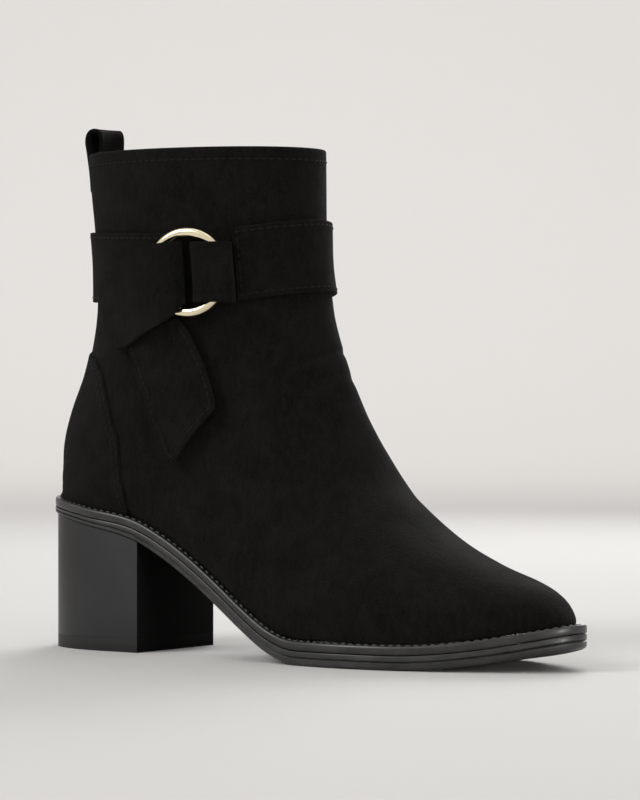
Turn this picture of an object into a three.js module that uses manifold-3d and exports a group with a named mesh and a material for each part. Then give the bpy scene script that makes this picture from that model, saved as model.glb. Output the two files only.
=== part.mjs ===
import * as THREE from "three";
import { mergeVertices } from "three/addons/utils/BufferGeometryUtils.js";
import Module from "manifold-3d";

const wasm = await Module();
wasm.setup();

// Right ankle boot. Sizes are in millimetres: x runs from the back of the sole to the toe, z up from the floor,
// and y is positive on the inner side of the foot, where the zip is.

// Last and sole
const lastLength = 242; // feather line, back of heel to tip of toe
const ballWidth = 73.5; // across the feather line at the ball
const heelHeight = 56.7; // floor to the underside of the sole at the back
const toeSpring = 8.9; // lift of the sole's underside at the tip
const weltLedge = 4.3; // welt beyond the upper
const weltThickness = 3.3;
const forepartThickness = 5.7; // outsole from the ball to the toe
const seatThickness = 2.7; // outsole over the heel
const edgeGroove = 0.8; // depth of the groove round the outsole's edge
const edgeRounding = 1.4; // at the outsole's foot
const weltRounding = 0.5;
const insoleThickness = 2.2; // above the feather line
const insoleGap = 0.9; // from the upper, which leans over it
const heelLength = 57; // back of the sole to the breast
const heelInset = 1; // heel's side inside the sole's edge
const liftThickness = 5.3; // heel's wearing piece

// Upper
const instepHeight = 130; // floor to the throat, where the front line turns into the shaft
const bootHeight = 204; // floor to the collar
const collarLength = 108.5;
const collarWidth = 72;
const wall = 2; // suede and lining
const counterThickness = 0.9; // counter's edge above the vamp
const gap = 0.3; // between pieces that meet
const curvedGap = 0.6; // between pieces that meet along a curve in two directions

// Counter: the stiff back piece, proud of the vamp
const counterBuried = 1; // part of its thickness inside the vamp

// Zip on the inner side
const zipAround = 0.42; // share of the way round from the front to the back
const zipFoot = 11.2; // last's section where it ends
const zipSlot = 5.4; // opening in the upper
const coilThickness = 2.1;
const coilProud = 0.2; // out from the upper
const tapeWidth = 17;
const tapeThickness = 0.8;
const coilBelowCollar = 1.5;
const tapeBelowCollar = 1;

// Straps
const strapWidth = 28.8;
const strapBelowCollar = 47; // collar to the middle line
const strapGap = 0.5; // from the leg, which curves both ways
const frontStrapThickness = 1.9;
const strapThickness = 1.6;
const tailThickness = 1.5; // where the strap is folded through the ring
const frontStrapFromRing = 19.5; // front strap's end from the ring's middle
const strapZipGap = 0.036; // from the zip's middle to each strap's end on the inner side
const backStrapFromRing = 6.1;
const loopWidth = 24; // loop of the front strap
const loopThickness = 1.3;

// Ring
const ringAround = -0.415; // its middle, as a share of the way round
const ringBelowStrap = 3; // strap's middle line to its middle
const ringRadius = 16; // to the middle of its wire
const ringWire = 4;
const ringFacing = -0.4; // place round the leg that it faces out from
const ringOut = 4; // its middle, out from the upper

// Pull loop
const pullLoopWidth = 18;
const pullLoopThickness = 1.5;

// Slider of the zip and its pull tab
const sliderBelowCollar = 9;
const sliderWidth = 8;
const sliderLength = 10;
const sliderThickness = 1.4;
const sliderOut = 0.45; // its back, out from the upper
const bridgeWidth = 2.2;
const bridgeRadius = 2.3;
const bridgeHole = 1.2; // radius of the hole for the pull tab
const pinOut = 3.6; // pull tab's turning line, out from the upper
const pinUp = 1; // and up from the slider's middle
const pullThickness = 1.3;
const pullLength = 25;
const pullTopWidth = 6.2;
const pullNeckWidth = 4.2;
const pullEndWidth = 7;
const pullShoulder = 0.8; // full width beyond its window
const pullTaper = 1.8; // from there to its neck
const pullSlotWidth = 2.3;
const pullPlay = 0.5; // pull tab to each side of the bridge
const pullReach = 1.1; // and beyond it

// Steps of the meshes
const toeSteps = 3;
const footSteps = 26;
const legSteps = 10;
const roundSteps = 30;
const outlineSteps = 32;
const heelSteps = 12;
const counterSteps = 14;
const zipSteps = 14;

const soleLength = lastLength + 2 * weltLedge;
const treadStart = 0.582; // share of the sole's length where the sole meets the floor
const shaftMiddle = 0.2885; // collar's middle, as a share of the sole's length
const strapHeight = bootHeight - strapBelowCollar;
const ringHeight = strapHeight - ringBelowStrap;

// Underside of the sole. along is a share of the sole's length; heel and toe are shares of the heel height and the
// toe spring; seat is 1 where the outsole is as thin as over the heel and 0 where it is as thick as at the ball.
const soleColumns = ["along", "heel", "toe", "seat"];
const soleRows = [
  [0, 1, 0, 1],
  [0.12, 0.905, 0, 0.75],
  [0.227, 0.794, 0, 0.3],
  [0.28, 0.682, 0, 0.1],
  [0.34, 0.525, 0, 0],
  [0.4, 0.357, 0, 0],
  [0.46, 0.193, 0, 0],
  [0.512, 0.07, 0, 0],
  [0.55, 0.014, 0, 0],
  [treadStart, 0, 0, 0],
  [0.749, 0, 0, 0],
  [0.817, 0, 0.1, 0],
  [0.896, 0, 0.4, 0],
  [0.956, 0, 0.73, 0],
  [1, 0, 1, 0],
];

// Feather line in plan. along is a share of the last's length; middle and half are shares of the ball width.
const featherColumns = ["along", "middle", "half"];
const featherRows = [
  [0, 0, 0],
  [0.02, 0, 0.181],
  [0.06, 0, 0.263],
  [0.11, 0, 0.305],
  [0.23, -0.007, 0.303],
  [0.375, -0.048, 0.288],
  [0.52, -0.041, 0.389],
  [0.645, -0.014, 0.472],
  [0.72, 0.016, 0.482],
  [0.81, 0.031, 0.419],
  [0.91, 0.033, 0.28],
  [0.965, 0.034, 0.166],
  [1, 0.034, 0],
];

// Sections of the last, from the tip of the toe to the collar. Each is a line from a top point on the front of the
// boot to a low point on the feather line or, above the heel seat, on the back.
// topSole and topCollar: top point's x, as shares of the sole's length and the collar's length.
// instep and shaft: its height, as shares of the instep's rise and the shaft's rise.
// low: low point on the feather line, as a share of the last's length, for the rows up to the heel seat.
// back: low point's distance behind the collar's middle, as a share of the collar's length, for the rows after it.
// level: low point's height, from 0 at the heel seat to 1 level with the top point.
// ball and cuff: half width beyond that of the feather line, as shares of the ball width and the collar's width.
// sway: top point's place across the foot, as a share of the ball width.
// widest: where between the two points the section is widest. full: how square its top is, 2 for an ellipse.
const lastColumns = [
  "topSole", "topCollar", "instep", "shaft", "low", "back", "level", "ball", "cuff", "sway", "widest", "full",
];
const lastRows = [
  [0.983, 0, 0, 0, 1, 0, 0, 0, 0, 0.034, 0.75, 2.1],
  [0.973, 0, 0.046, 0, 0.989, 0, 0, 0.034, 0, 0.036, 0.76, 2.1],
  [0.946, 0, 0.111, 0, 0.957, 0, 0, 0.068, 0, 0.04, 0.78, 2.15],
  [0.898, 0, 0.174, 0, 0.909, 0, 0, 0.095, 0, 0.05, 0.8, 2.2],
  [0.814, 0, 0.252, 0, 0.835, 0, 0, 0.116, 0, 0.07, 0.8, 2.2],
  [0.718, 0, 0.358, 0, 0.744, 0, 0, 0.128, 0, 0.09, 0.8, 2.1],
  [0.65, 0, 0.482, 0, 0.637, 0, 0, 0.17, 0, 0.095, 0.78, 2],
  [0.6085, 0, 0.619, 0, 0.52, 0, 0, 0.226, 0, 0.09, 0.74, 1.95],
  [0.5886, 0, 0.702, 0, 0.416, 0, 0, 0.3, 0, 0.075, 0.68, 1.9],
  [0.5746, 0, 0.776, 0, 0.313, 0, 0, 0.304, 0, 0.055, 0.62, 1.9],
  [0.5607, 0, 0.855, 0, 0.21, 0, 0, 0.303, 0, 0.035, 0.58, 1.9],
  [0.5507, 0, 0.925, 0, 0.107, 0, 0, 0.31, 0, 0.02, 0.55, 1.95],
  [0.5447, 0, 0.971, 0, 0.026, 0, 0, 0.388, 0, 0.01, 0.53, 2],
  [0.2885, 0.5825, 1, 0, 0, 0.6267, 0, 0, 0.449, 0.005, 0.52, 2],
  [0.2885, 0.571, 1, 0.061, 0, 0.644, 0.197, 0, 0.449, 0, 0.51, 2],
  [0.2885, 0.5595, 1, 0.122, 0, 0.602, 0.408, 0, 0.444, 0, 0.5, 2],
  [0.2885, 0.548, 1, 0.203, 0, 0.5244, 0.61, 0, 0.442, 0, 0.5, 2],
  [0.2885, 0.532, 1, 0.297, 0, 0.4756, 0.798, 0, 0.444, 0, 0.5, 2],
  [0.2885, 0.5207, 1, 0.405, 0, 0.4664, 0.948, 0, 0.453, 0, 0.5, 2],
  [0.2885, 0.5115, 1, 0.581, 0, 0.4765, 1, 0, 0.469, 0, 0.5, 2.05],
  [0.2885, 0.504, 1, 0.784, 0, 0.4894, 1, 0, 0.486, 0, 0.5, 2.1],
  [0.2885, 0.5, 1, 1, 0, 0.5, 1, 0, 0.5, 0, 0.5, 2.1],
];
const heelSeatRow = 13;
const collarRow = lastRows.length - 1;

// Counter's front and top edge, as places round the last at its sections
const counterColumns = ["section", "around"];
const counterEdge = [
  [10.2, 0.89],
  [10.4, 0.82],
  [10.95, 0.72],
  [11.9, 0.633],
  [12.6, 0.608],
  [13.3, 0.602],
  [14.2, 0.61],
  [15.05, 0.64],
  [15.8, 0.705],
  [16.25, 0.8],
  [16.45, 0.92],
];

// Straps' middle line: its rise, as a share of the straps' width, at shares of the way round from the front to the
// back, on either side
const strapColumns = ["around", "rise"];
const strapRise = [
  [0, 0.139],
  [0.16, 0.09],
  [0.3, 0.007],
  [0.42, -0.056],
  [0.6, -0.035],
  [0.8, 0.007],
  [1, 0.021],
];

// Loop of the front strap round the ring's front side: distances forward from the ring's middle as shares of its
// radius, and out from the upper as shares of the ring's
const loopPath = [
  [1.155, 0.525],
  [1.16, 1.05],
  [1.149, 1.575],
  [1.082, 1.975],
  [0.959, 2.15],
  [0.722, 2.1],
  [0.412, 1.825],
  [0.196, 1.325],
  [0.155, 0.8],
  [0.227, 0.4],
  [0.412, 0.25],
  [0.773, 0.25],
  [1.103, 0.25],
];

// Ends of the back strap, each by its two edges: how far one edge lies forward of the ring's middle and above it, the
// same for the other edge, and how far out from the upper both lie. These are shares of the ring's radius, of the
// straps' width and of the ring's distance out. The fold comes up through the ring, over its back side and down to a
// turn. The tail comes out from under it and hangs down to a slanted end.
const foldEdges = [
  [-0.32, 0.458, -0.32, -0.444, 0.275],
  [-0.227, 0.448, -0.216, -0.444, 0.425],
  [-0.165, 0.441, -0.155, -0.448, 0.85],
  [-0.175, 0.434, -0.155, -0.451, 1.4],
  [-0.268, 0.427, -0.216, -0.569, 1.925],
  [-0.567, 0.403, -0.412, -0.67, 2.2],
  [-0.979, 0.347, -0.773, -0.781, 2.275],
  [-1.392, 0.288, -1.082, -0.882, 2.15],
  [-1.907, 0.156, -1.34, -0.965, 1.8],
  [-2.423, 0, -1.649, -1.035, 1.525],
  [-2.783, -0.156, -2.01, -1.014, 1.4],
  [-2.938, -0.33, -2.423, -0.885, 1.3],
];
const tailEdges = [
  [-1.68, -0.955, -0.33, -0.635, 1.075],
  [-1.495, -1.115, 0.01, -0.802, 1],
  [-1.237, -1.285, 0.278, -1.007, 1],
  [-1.072, -1.441, 0.474, -1.267, 1.05],
  [-0.928, -1.615, 0.464, -1.51, 1.15],
  [-0.876, -1.753, 0.299, -1.708, 1.2],
  [-0.907, -1.892, 0.052, -1.875, 1.25],
  [-0.99, -2.031, -0.32, -2.028, 1.25],
  [-1.186, -2.188, -0.753, -2.194, 1.25],
  [-1.454, -2.344, -1.216, -2.368, 1.25],
  [-1.783, -2.517, -1.67, -2.528, 1.25],
  [-2.01, -2.639, -1.948, -2.632, 1.2],
];

// Pull loop over the collar at the back: 1 where it lies outside the upper and 0 where it lies inside, then its height
// above the collar and its distance from the upper, as shares of its width
const pullLoopPath = [
  [1, -0.833, 0],
  [1, -0.389, 0.006],
  [1, 0.028, 0.036],
  [1, 0.333, 0.081],
  [1, 0.517, 0.042],
  [1, 0.594, -0.058],
  [0, 0.578, -0.064],
  [0, 0.444, 0.019],
  [0, 0.111, 0.014],
  [0, -0.333, 0.006],
  [0, -0.833, 0],
];

// A smooth column of a table: a cubic between rows, level at the ends that are called round and, in a table called
// flat, at a row beside an equal one.
function column(columns, rows, name, at = null, roundStart = false, roundEnd = false, flat = false) {
  const values = rows.map((row) => row[columns.indexOf(name)]);
  const places = at === null ? rows.map((_, i) => i) : rows.map((row) => row[columns.indexOf(at)]);
  const steps = values.slice(1).map((v, i) => (v - values[i]) / (places[i + 1] - places[i]));
  const slopes = values.map((_, i) => {
    if (i === 0) return roundStart ? 0 : steps[0];
    if (i === values.length - 1) return roundEnd ? 0 : steps[i - 1];
    if (flat && (steps[i - 1] === 0 || steps[i] === 0)) return 0;
    const before = places[i] - places[i - 1];
    const after = places[i + 1] - places[i];
    return (steps[i - 1] * after + steps[i] * before) / (before + after);
  });
  return (place) => {
    let i = 0;
    while (i < places.length - 2 && place > places[i + 1]) i++;
    const width = places[i + 1] - places[i];
    const u = THREE.MathUtils.clamp((place - places[i]) / width, 0, 1);
    const a = 1 + u * u * (2 * u - 3);
    const b = u * (1 - u) * (1 - u) * width;
    const c = u * u * (3 - 2 * u);
    const d = u * u * (u - 1) * width;
    return a * values[i] + b * slopes[i] + c * values[i + 1] + d * slopes[i + 1];
  };
}

const soleColumn = (name) => column(soleColumns, soleRows, name, "along", false, false, true);
const soleHeel = soleColumn("heel");
const soleToe = soleColumn("toe");
const soleSeat = soleColumn("seat");
const underside = (x) => heelHeight * soleHeel(x / soleLength) + toeSpring * soleToe(x / soleLength);
const outsoleThickness = (x) =>
  THREE.MathUtils.lerp(forepartThickness, seatThickness, soleSeat(x / soleLength));
const weltBottom = (x) => underside(x) + outsoleThickness(x) + gap;
const featherHeight = (x) => weltBottom(x) + weltThickness + curvedGap;

// Feather line in plan, with its places taken as angles so that both ends come out round.
const endAngle = (along) => Math.acos(THREE.MathUtils.clamp(1 - 2 * along, -1, 1));
const angledRows = featherRows.map(([along, ...rest]) => [endAngle(along), ...rest]);
const featherMiddle = column(featherColumns, angledRows, "middle", "along");
const featherHalf = column(featherColumns, angledRows, "half", "along");
function featherAt(along) {
  const angle = endAngle(along);
  return {
    x: weltLedge + lastLength * along,
    middle: ballWidth * featherMiddle(angle),
    half: ballWidth * featherHalf(angle),
  };
}

const lastPart = (name, rows = lastRows, roundStart = false, roundEnd = false) =>
  column(lastColumns, rows, name, null, roundStart, roundEnd);
const topSole = lastPart("topSole", lastRows, true);
const topCollar = lastPart("topCollar");
const instepShare = lastPart("instep");
const shaftShare = lastPart("shaft");
const lowAlong = lastPart("low", lastRows.slice(0, heelSeatRow + 1), true, true);
const backShare = lastPart("back", lastRows.slice(heelSeatRow));
const levelShare = lastPart("level", lastRows.slice(heelSeatRow));
const ballShare = lastPart("ball");
const cuffShare = lastPart("cuff");
const swayShare = lastPart("sway");
const widestPlace = lastPart("widest");
const fullness = lastPart("full");

// Point on the last's outside. row is a place between the sections; around runs from -1 at the outer side's feather
// line or the back, through 0 at the front, to 1 at the inner side's feather line or the back.
function lastPoint(row, around) {
  const side = around < 0 ? -1 : 1;
  const share = Math.abs(around);
  const treadX = treadStart * soleLength;
  const topX = topSole(row) * soleLength + topCollar(row) * collarLength;
  const topZ =
    featherHeight(Math.max(topX, treadX)) +
    instepShare(row) * (instepHeight - featherHeight(treadX)) +
    shaftShare(row) * (bootHeight - instepHeight);
  const onFeather = row <= heelSeatRow;
  const feather = featherAt(onFeather ? lowAlong(row) : 0);
  const seat = featherHeight(weltLedge);
  const lowX = onFeather ? feather.x : shaftMiddle * soleLength - backShare(row - heelSeatRow) * collarLength;
  const lowZ = onFeather ? featherHeight(lowX) : THREE.MathUtils.lerp(seat, topZ, levelShare(row - heelSeatRow));
  const spread = ballShare(row) * ballWidth + cuffShare(row) * collarWidth;
  const wide = Math.hypot(feather.half, spread);
  const widest = widestPlace(row);
  let along;
  let out;
  if (share <= widest) {
    const turn = (Math.PI / 2) * (share / widest);
    const power = 2 / fullness(row);
    along = widest * (1 - Math.pow(Math.cos(turn), power));
    out = wide * Math.pow(Math.sin(turn), power);
  } else {
    const turn = (Math.PI / 2) * ((share - widest) / (1 - widest));
    along = widest + (1 - widest) * Math.sin(turn);
    out = feather.half + (wide - feather.half) * Math.cos(turn);
  }
  const middle = THREE.MathUtils.lerp(swayShare(row) * ballWidth, feather.middle, along);
  return new THREE.Vector3(
    THREE.MathUtils.lerp(topX, lowX, along),
    middle + side * out,
    THREE.MathUtils.lerp(topZ, lowZ, along),
  );
}

// Closed geometry from triangles given as corner points, facing out, with equal points merged and flat triangles
// dropped.
function solidFrom(triangles) {
  const volume = triangles.reduce((sum, [a, b, c]) => sum + a.dot(b.clone().cross(c)), 0);
  const facing = volume < 0 ? flipped(triangles) : triangles;
  const merged = mergeVertices(new THREE.BufferGeometry().setFromPoints(facing.flat()), 1e-4);
  const index = [];
  for (let i = 0; i < merged.index.count; i += 3) {
    const [a, b, c] = [merged.index.getX(i), merged.index.getX(i + 1), merged.index.getX(i + 2)];
    if (a !== b && b !== c && c !== a) index.push(a, b, c);
  }
  merged.setIndex(index);
  merged.computeVertexNormals();
  return merged;
}

// Triangles of a strip between two rows of points.
function strip(first, second) {
  const faces = [];
  for (let j = 0; j < first.length - 1; j++) {
    faces.push([first[j], first[j + 1], second[j + 1]]);
    faces.push([first[j], second[j + 1], second[j]]);
  }
  return faces;
}

const surface = (rows) => rows.slice(1).flatMap((row, i) => strip(rows[i], row));
const flipped = (faces) => faces.map(([a, b, c]) => [a, c, b]);

// Each point of a grid moved off its surface by a distance. The points that level picks keep their height.
function offsetGrid(rows, distance, level = () => false) {
  const corners = surface(rows).flat();
  const merged = mergeVertices(new THREE.BufferGeometry().setFromPoints(corners), 1e-4);
  merged.computeVertexNormals();
  const vertexOf = new Map(corners.map((point, i) => [point, merged.index.getX(i)]));
  const normal = merged.getAttribute("normal");
  return rows.map((row, i) =>
    row.map((point, j) => {
      const direction = new THREE.Vector3().fromBufferAttribute(normal, vertexOf.get(point));
      if (level(i, j)) direction.setZ(0).normalize();
      return point.clone().addScaledVector(direction, distance);
    }),
  );
}

const range = (from, to, count) =>
  Array.from({ length: count + 1 }, (_, i) => from + ((to - from) * i) / count);

// manifold-3d solid of a geometry, and the geometry of such a solid.
function manifoldOf(geometry) {
  const plain = geometry.clone().deleteAttribute("normal").deleteAttribute("uv");
  const merged = mergeVertices(plain, 1e-4);
  return new wasm.Manifold(
    new wasm.Mesh({
      numProp: 3,
      vertProperties: merged.getAttribute("position").array,
      triVerts: new Uint32Array(merged.index.array),
    }),
  );
}

function geometryOf(solid) {
  const mesh = solid.getMesh();
  const geometry = new THREE.BufferGeometry();
  geometry.setAttribute("position", new THREE.BufferAttribute(mesh.vertProperties, 3));
  geometry.setIndex(new THREE.BufferAttribute(mesh.triVerts, 1));
  geometry.computeVertexNormals();
  return geometry;
}

// Sheet of even thickness whose middle is a grid of points
function sheet(grid, thickness) {
  const front = offsetGrid(grid, thickness / 2);
  const back = offsetGrid(grid, -thickness / 2);
  const side = (rows, j) => rows.map((row) => row.at(j));
  return solidFrom([
    ...surface(front),
    ...flipped(surface(back)),
    ...flipped(strip(front[0], back[0])),
    ...strip(front.at(-1), back.at(-1)),
    ...strip(side(front, 0), side(back, 0)),
    ...flipped(strip(side(front, -1), side(back, -1))),
  ]);
}

// Direction out of the last's surface
function lastNormal(row, around) {
  const step = 0.004;
  const wrap = (place) => (place > 1 ? place - 2 : place < -1 ? place + 2 : place);
  const ends = row > heelSeatRow ? wrap : (place) => THREE.MathUtils.clamp(place, -1, 1);
  const across = lastPoint(row, ends(around + step)).sub(lastPoint(row, ends(around - step)));
  const up = lastPoint(Math.min(row + step, collarRow), around).sub(lastPoint(row - step, around));
  return across.cross(up).normalize();
}

// Section of the last that passes through a height of the leg at a place round it. It looks from below the straps.
const legRowStart = 7;
function legRow(around, height) {
  let low = legRowStart;
  let high = collarRow;
  for (let i = 0; i < 30; i++) {
    const middle = (low + high) / 2;
    if (lastPoint(middle, around).z < height) low = middle;
    else high = middle;
  }
  return high;
}

const roundTheBack = (around) => (around > 1 ? around - 2 : around < -1 ? around + 2 : around);

// Level direction out of the leg
const legNormal = (around, height) => {
  const place = roundTheBack(around);
  return lastNormal(legRow(place, Math.min(height, bootHeight)), place).setZ(0).normalize();
};

// Point of the leg at a height, moved out from the surface. Above the collar it carries straight on up.
function legPoint(around, height, out = 0) {
  const place = roundTheBack(around);
  const row = legRow(place, Math.min(height, bootHeight));
  return lastPoint(row, place).addScaledVector(legNormal(around, height), out).setZ(height);
}

// Upper: one hollow shell
function upperShell() {
  const toe = range(0, 1, toeSteps);
  const foot = range(1, heelSeatRow, footSteps).slice(1);
  const leg = range(heelSeatRow, collarRow, legSteps).slice(1);
  const places = [...toe, ...foot, ...leg];
  const seatIndex = toe.length + foot.length - 1;
  const outer = places.map((place) => range(-1, 1, roundSteps).map((around) => lastPoint(place, around)));
  const edge = outer[0].length - 1;
  const onRim = (i, j) => i === places.length - 1 || (i <= seatIndex && (j === 0 || j === edge));
  const inner = offsetGrid(outer, -wall, onRim);
  const side = (grid, j) => grid.slice(0, seatIndex + 1).map((row) => row[j]);
  return solidFrom([
    ...surface(outer),
    ...flipped(surface(inner)),
    ...strip(outer.at(-1), inner.at(-1)),
    ...strip(side(outer, 0), side(inner, 0)),
    ...flipped(strip(side(outer, edge), side(inner, edge))),
  ]);
}

// Closed outline in plan, moved out from the feather line, from the toe round the outer side and the heel back to the
// toe. It stops at a place along the foot when that is given.
function outline(out, frontEnd = null) {
  const reach = frontEnd === null ? Math.PI : endAngle((frontEnd - weltLedge) / lastLength);
  const angles = range(reach, 0, frontEnd === null ? outlineSteps : heelSteps);
  const pointAt = (angle, side) => {
    const along = (1 - Math.cos(angle)) / 2;
    const { x, middle, half } = featherAt(along);
    return new THREE.Vector2(x, middle + side * half);
  };
  const moved = (angle, side) => {
    const step = 0.01;
    const before = angle > step ? pointAt(angle - step, side) : pointAt(step - angle, -side);
    const beyond = 2 * Math.PI - angle - step;
    const after = angle + step < Math.PI ? pointAt(angle + step, side) : pointAt(beyond, -side);
    const tangent = after.sub(before).normalize();
    const point = pointAt(angle, side);
    return point.add(new THREE.Vector2(-tangent.y, tangent.x).multiplyScalar(out * side));
  };
  const outer = angles.map((angle) => moved(angle, -1));
  const inner = angles.slice(0, -1).reverse().map((angle) => moved(angle, 1));
  const loop = [...outer, ...inner];
  if (frontEnd === null) return [...loop.slice(0, -1), loop[0]];
  loop[0].x = frontEnd;
  loop.at(-1).x = frontEnd;
  return loop;
}

// Loops stacked from the bottom to the top, with a cap at each end that joins the two sides of the foot.
function stack(loops) {
  const closed = loops.map((loop) => [...loop, loop[0]]);
  const cap = (loop) => {
    const half = (loop.length + 1) / 2;
    return strip(loop.slice(0, half), loop.slice(half - 1).reverse());
  };
  return solidFrom([...surface(closed), ...flipped(cap(loops[0])), ...cap(loops.at(-1))]);
}

const raised = (loop, height) => loop.map(({ x, y }) => new THREE.Vector3(x, y, height(x)));

// Outsole. Its edge profile gives shares of its thickness and how far each line lies inside the welt's edge.
function outsole() {
  const profile = [
    [0, edgeRounding],
    [0.1, 0.3 * edgeRounding],
    [0.2, 0],
    [0.46, 0],
    [0.54, edgeGroove],
    [0.62, 0],
    [0.94, 0],
    [1, 0.3 * edgeRounding],
  ];
  return stack(
    profile.map(([share, inset]) =>
      raised(outline(weltLedge - inset), (x) => underside(x) + share * outsoleThickness(x)),
    ),
  );
}

// Welt: a flat band under the upper's edge
function welt() {
  const profile = [
    [0, weltLedge - weltRounding],
    [0.2, weltLedge],
    [0.8, weltLedge],
    [1, weltLedge - weltRounding],
    [1, -wall],
    [0, -wall],
  ];
  const height = (share) => (x) => weltBottom(x) + share * weltThickness;
  const loops = profile.map(([share, out]) => raised(outline(out), height(share)));
  return solidFrom(surface([...loops, loops[0]]));
}

function insole() {
  const inset = outline(-wall - insoleGap);
  return stack([raised(inset, weltBottom), raised(inset, (x) => featherHeight(x) + insoleThickness)]);
}

function heelBlock(bottom, top) {
  const loop = outline(weltLedge - heelInset, heelLength);
  return stack([raised(loop, bottom), raised(loop, top)]);
}

const boot = new THREE.Group();
boot.position.x = -heelLength / 2;
const suede = new THREE.MeshStandardMaterial({ color: 0x1a1918, roughness: 0.95 });
const lining = new THREE.MeshStandardMaterial({ color: 0x151413, roughness: 0.8 });
const soleEdge = new THREE.MeshStandardMaterial({ color: 0x2b2826, roughness: 0.45 });
const stackedHeel = new THREE.MeshStandardMaterial({ color: 0x353230, roughness: 0.4 });
const rubber = new THREE.MeshStandardMaterial({ color: 0x1c1b1a, roughness: 0.7 });
const gold = new THREE.MeshStandardMaterial({ color: 0xe3cd97, roughness: 0.25, metalness: 1 });
const zipMetal = new THREE.MeshStandardMaterial({ color: 0x55565a, roughness: 0.35, metalness: 1 });

function addPiece(name, geometry, material) {
  const mesh = new THREE.Mesh(geometry, material);
  mesh.name = name;
  boot.add(mesh);
  return mesh;
}

// Counter from the heel seat to its top edge, in one half for each side
function counter(side) {
  const edgeAt = column(counterColumns, counterEdge, "around", "section");
  const rows = range(counterEdge[0][0], counterEdge.at(-1)[0], counterSteps).map((row) => {
    const nearSeat = THREE.MathUtils.clamp(row - heelSeatRow + 1, 0, 1);
    const overBack = row > heelSeatRow ? 1.01 : THREE.MathUtils.lerp(0.93, 0.98, nearSeat);
    return range(edgeAt(row), overBack, 8).map((around) => {
      const place = side * around;
      const normal = lastNormal(row, roundTheBack(place));
      return lastPoint(row, roundTheBack(place)).addScaledVector(normal, (counterThickness - counterBuried) / 2);
    });
  });
  return sheet(rows, counterThickness + counterBuried);
}

// Strip along the zip: a sheet whose middle lies at a depth below the upper's outside, from a section of the last up
// to a height from the collar
function zipStrip(width, depth, thickness, foot, top) {
  const rows = range(foot, collarRow, zipSteps).map((row) => {
    const step = 0.01;
    const perShare = lastPoint(row, zipAround + step).distanceTo(lastPoint(row, zipAround)) / step;
    return range(-width / 2, width / 2, 4).map((across) => {
      const around = zipAround + across / perShare;
      return lastPoint(row, around).addScaledVector(lastNormal(row, around), -depth);
    });
  });
  rows.at(-1).forEach((point) => point.setZ(bootHeight + top));
  return sheet(rows, thickness);
}

// Straps
const strapRiseAt = column(strapColumns, strapRise, "rise", "around");
const strapMiddle = (around) => strapHeight + strapWidth * strapRiseAt(Math.abs(roundTheBack(around)));

function strapBand(from, to, count, thickness) {
  const places = range(from, to, count);
  const rows = range(-0.5, 0.5, 3).map((across) =>
    places.map((around) =>
      legPoint(around, strapMiddle(around) + across * strapWidth, strapGap + thickness / 2),
    ),
  );
  return sheet(rows, thickness);
}

// Place round the leg at a distance forward of the ring's middle
function ringPlace(forward) {
  const step = 0.05;
  const before = legPoint(ringAround - step, ringHeight);
  const after = legPoint(ringAround + step, ringHeight);
  return ringAround + (forward * 2 * step) / before.distanceTo(after);
}

function frontLoop() {
  const rows = loopPath.map(([forward, out]) => {
    const around = ringPlace(forward * ringRadius);
    return range(-0.5, 0.5, 5).map((across) => legPoint(around, ringHeight + across * loopWidth, out * ringOut));
  });
  return sheet(rows, loopThickness);
}

// Length of leather between two edges
function leather(edges, across, thickness) {
  const rows = edges.map(([forwardA, heightA, forwardB, heightB, out]) =>
    range(0, 1, across).map((share) =>
      legPoint(
        ringPlace(ringRadius * THREE.MathUtils.lerp(forwardA, forwardB, share)),
        ringHeight + strapWidth * THREE.MathUtils.lerp(heightA, heightB, share),
        out * ringOut,
      ),
    ),
  );
  return sheet(rows, thickness);
}

function pullLoop() {
  const perShare = legPoint(0.99, bootHeight).distanceTo(legPoint(1, bootHeight)) / 0.01;
  const outer = gap + pullLoopThickness / 2;
  const inner = -wall - curvedGap - pullLoopThickness / 2;
  const rows = pullLoopPath.map(([side, height, out]) =>
    range(-0.5, 0.5, 4).map((across) =>
      legPoint(
        1 + (across * pullLoopWidth) / perShare,
        bootHeight + height * pullLoopWidth,
        side ? outer + out * pullLoopWidth : inner - out * pullLoopWidth,
      ),
    ),
  );
  return sheet(rows, pullLoopThickness);
}

// Zip slider and its pull tab, in a frame whose y points out of the upper and whose x lies across the zip
function slider() {
  const plate = new THREE.BoxGeometry(sliderWidth, sliderThickness, sliderLength);
  plate.translate(0, sliderOut + sliderThickness / 2, 0);
  const arch = new THREE.Shape().absarc(0, 0, bridgeRadius, 0, 2 * Math.PI);
  arch.holes.push(new THREE.Path().absarc(0, 0, bridgeHole, 0, 2 * Math.PI, true));
  const bridge = new THREE.ExtrudeGeometry(arch, { depth: bridgeWidth, bevelEnabled: false, curveSegments: 8 });
  bridge.translate(0, 0, -bridgeWidth / 2).rotateY(Math.PI / 2).translate(0, pinOut, pinUp);
  return geometryOf(manifoldOf(plate).add(manifoldOf(bridge)));
}

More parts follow.
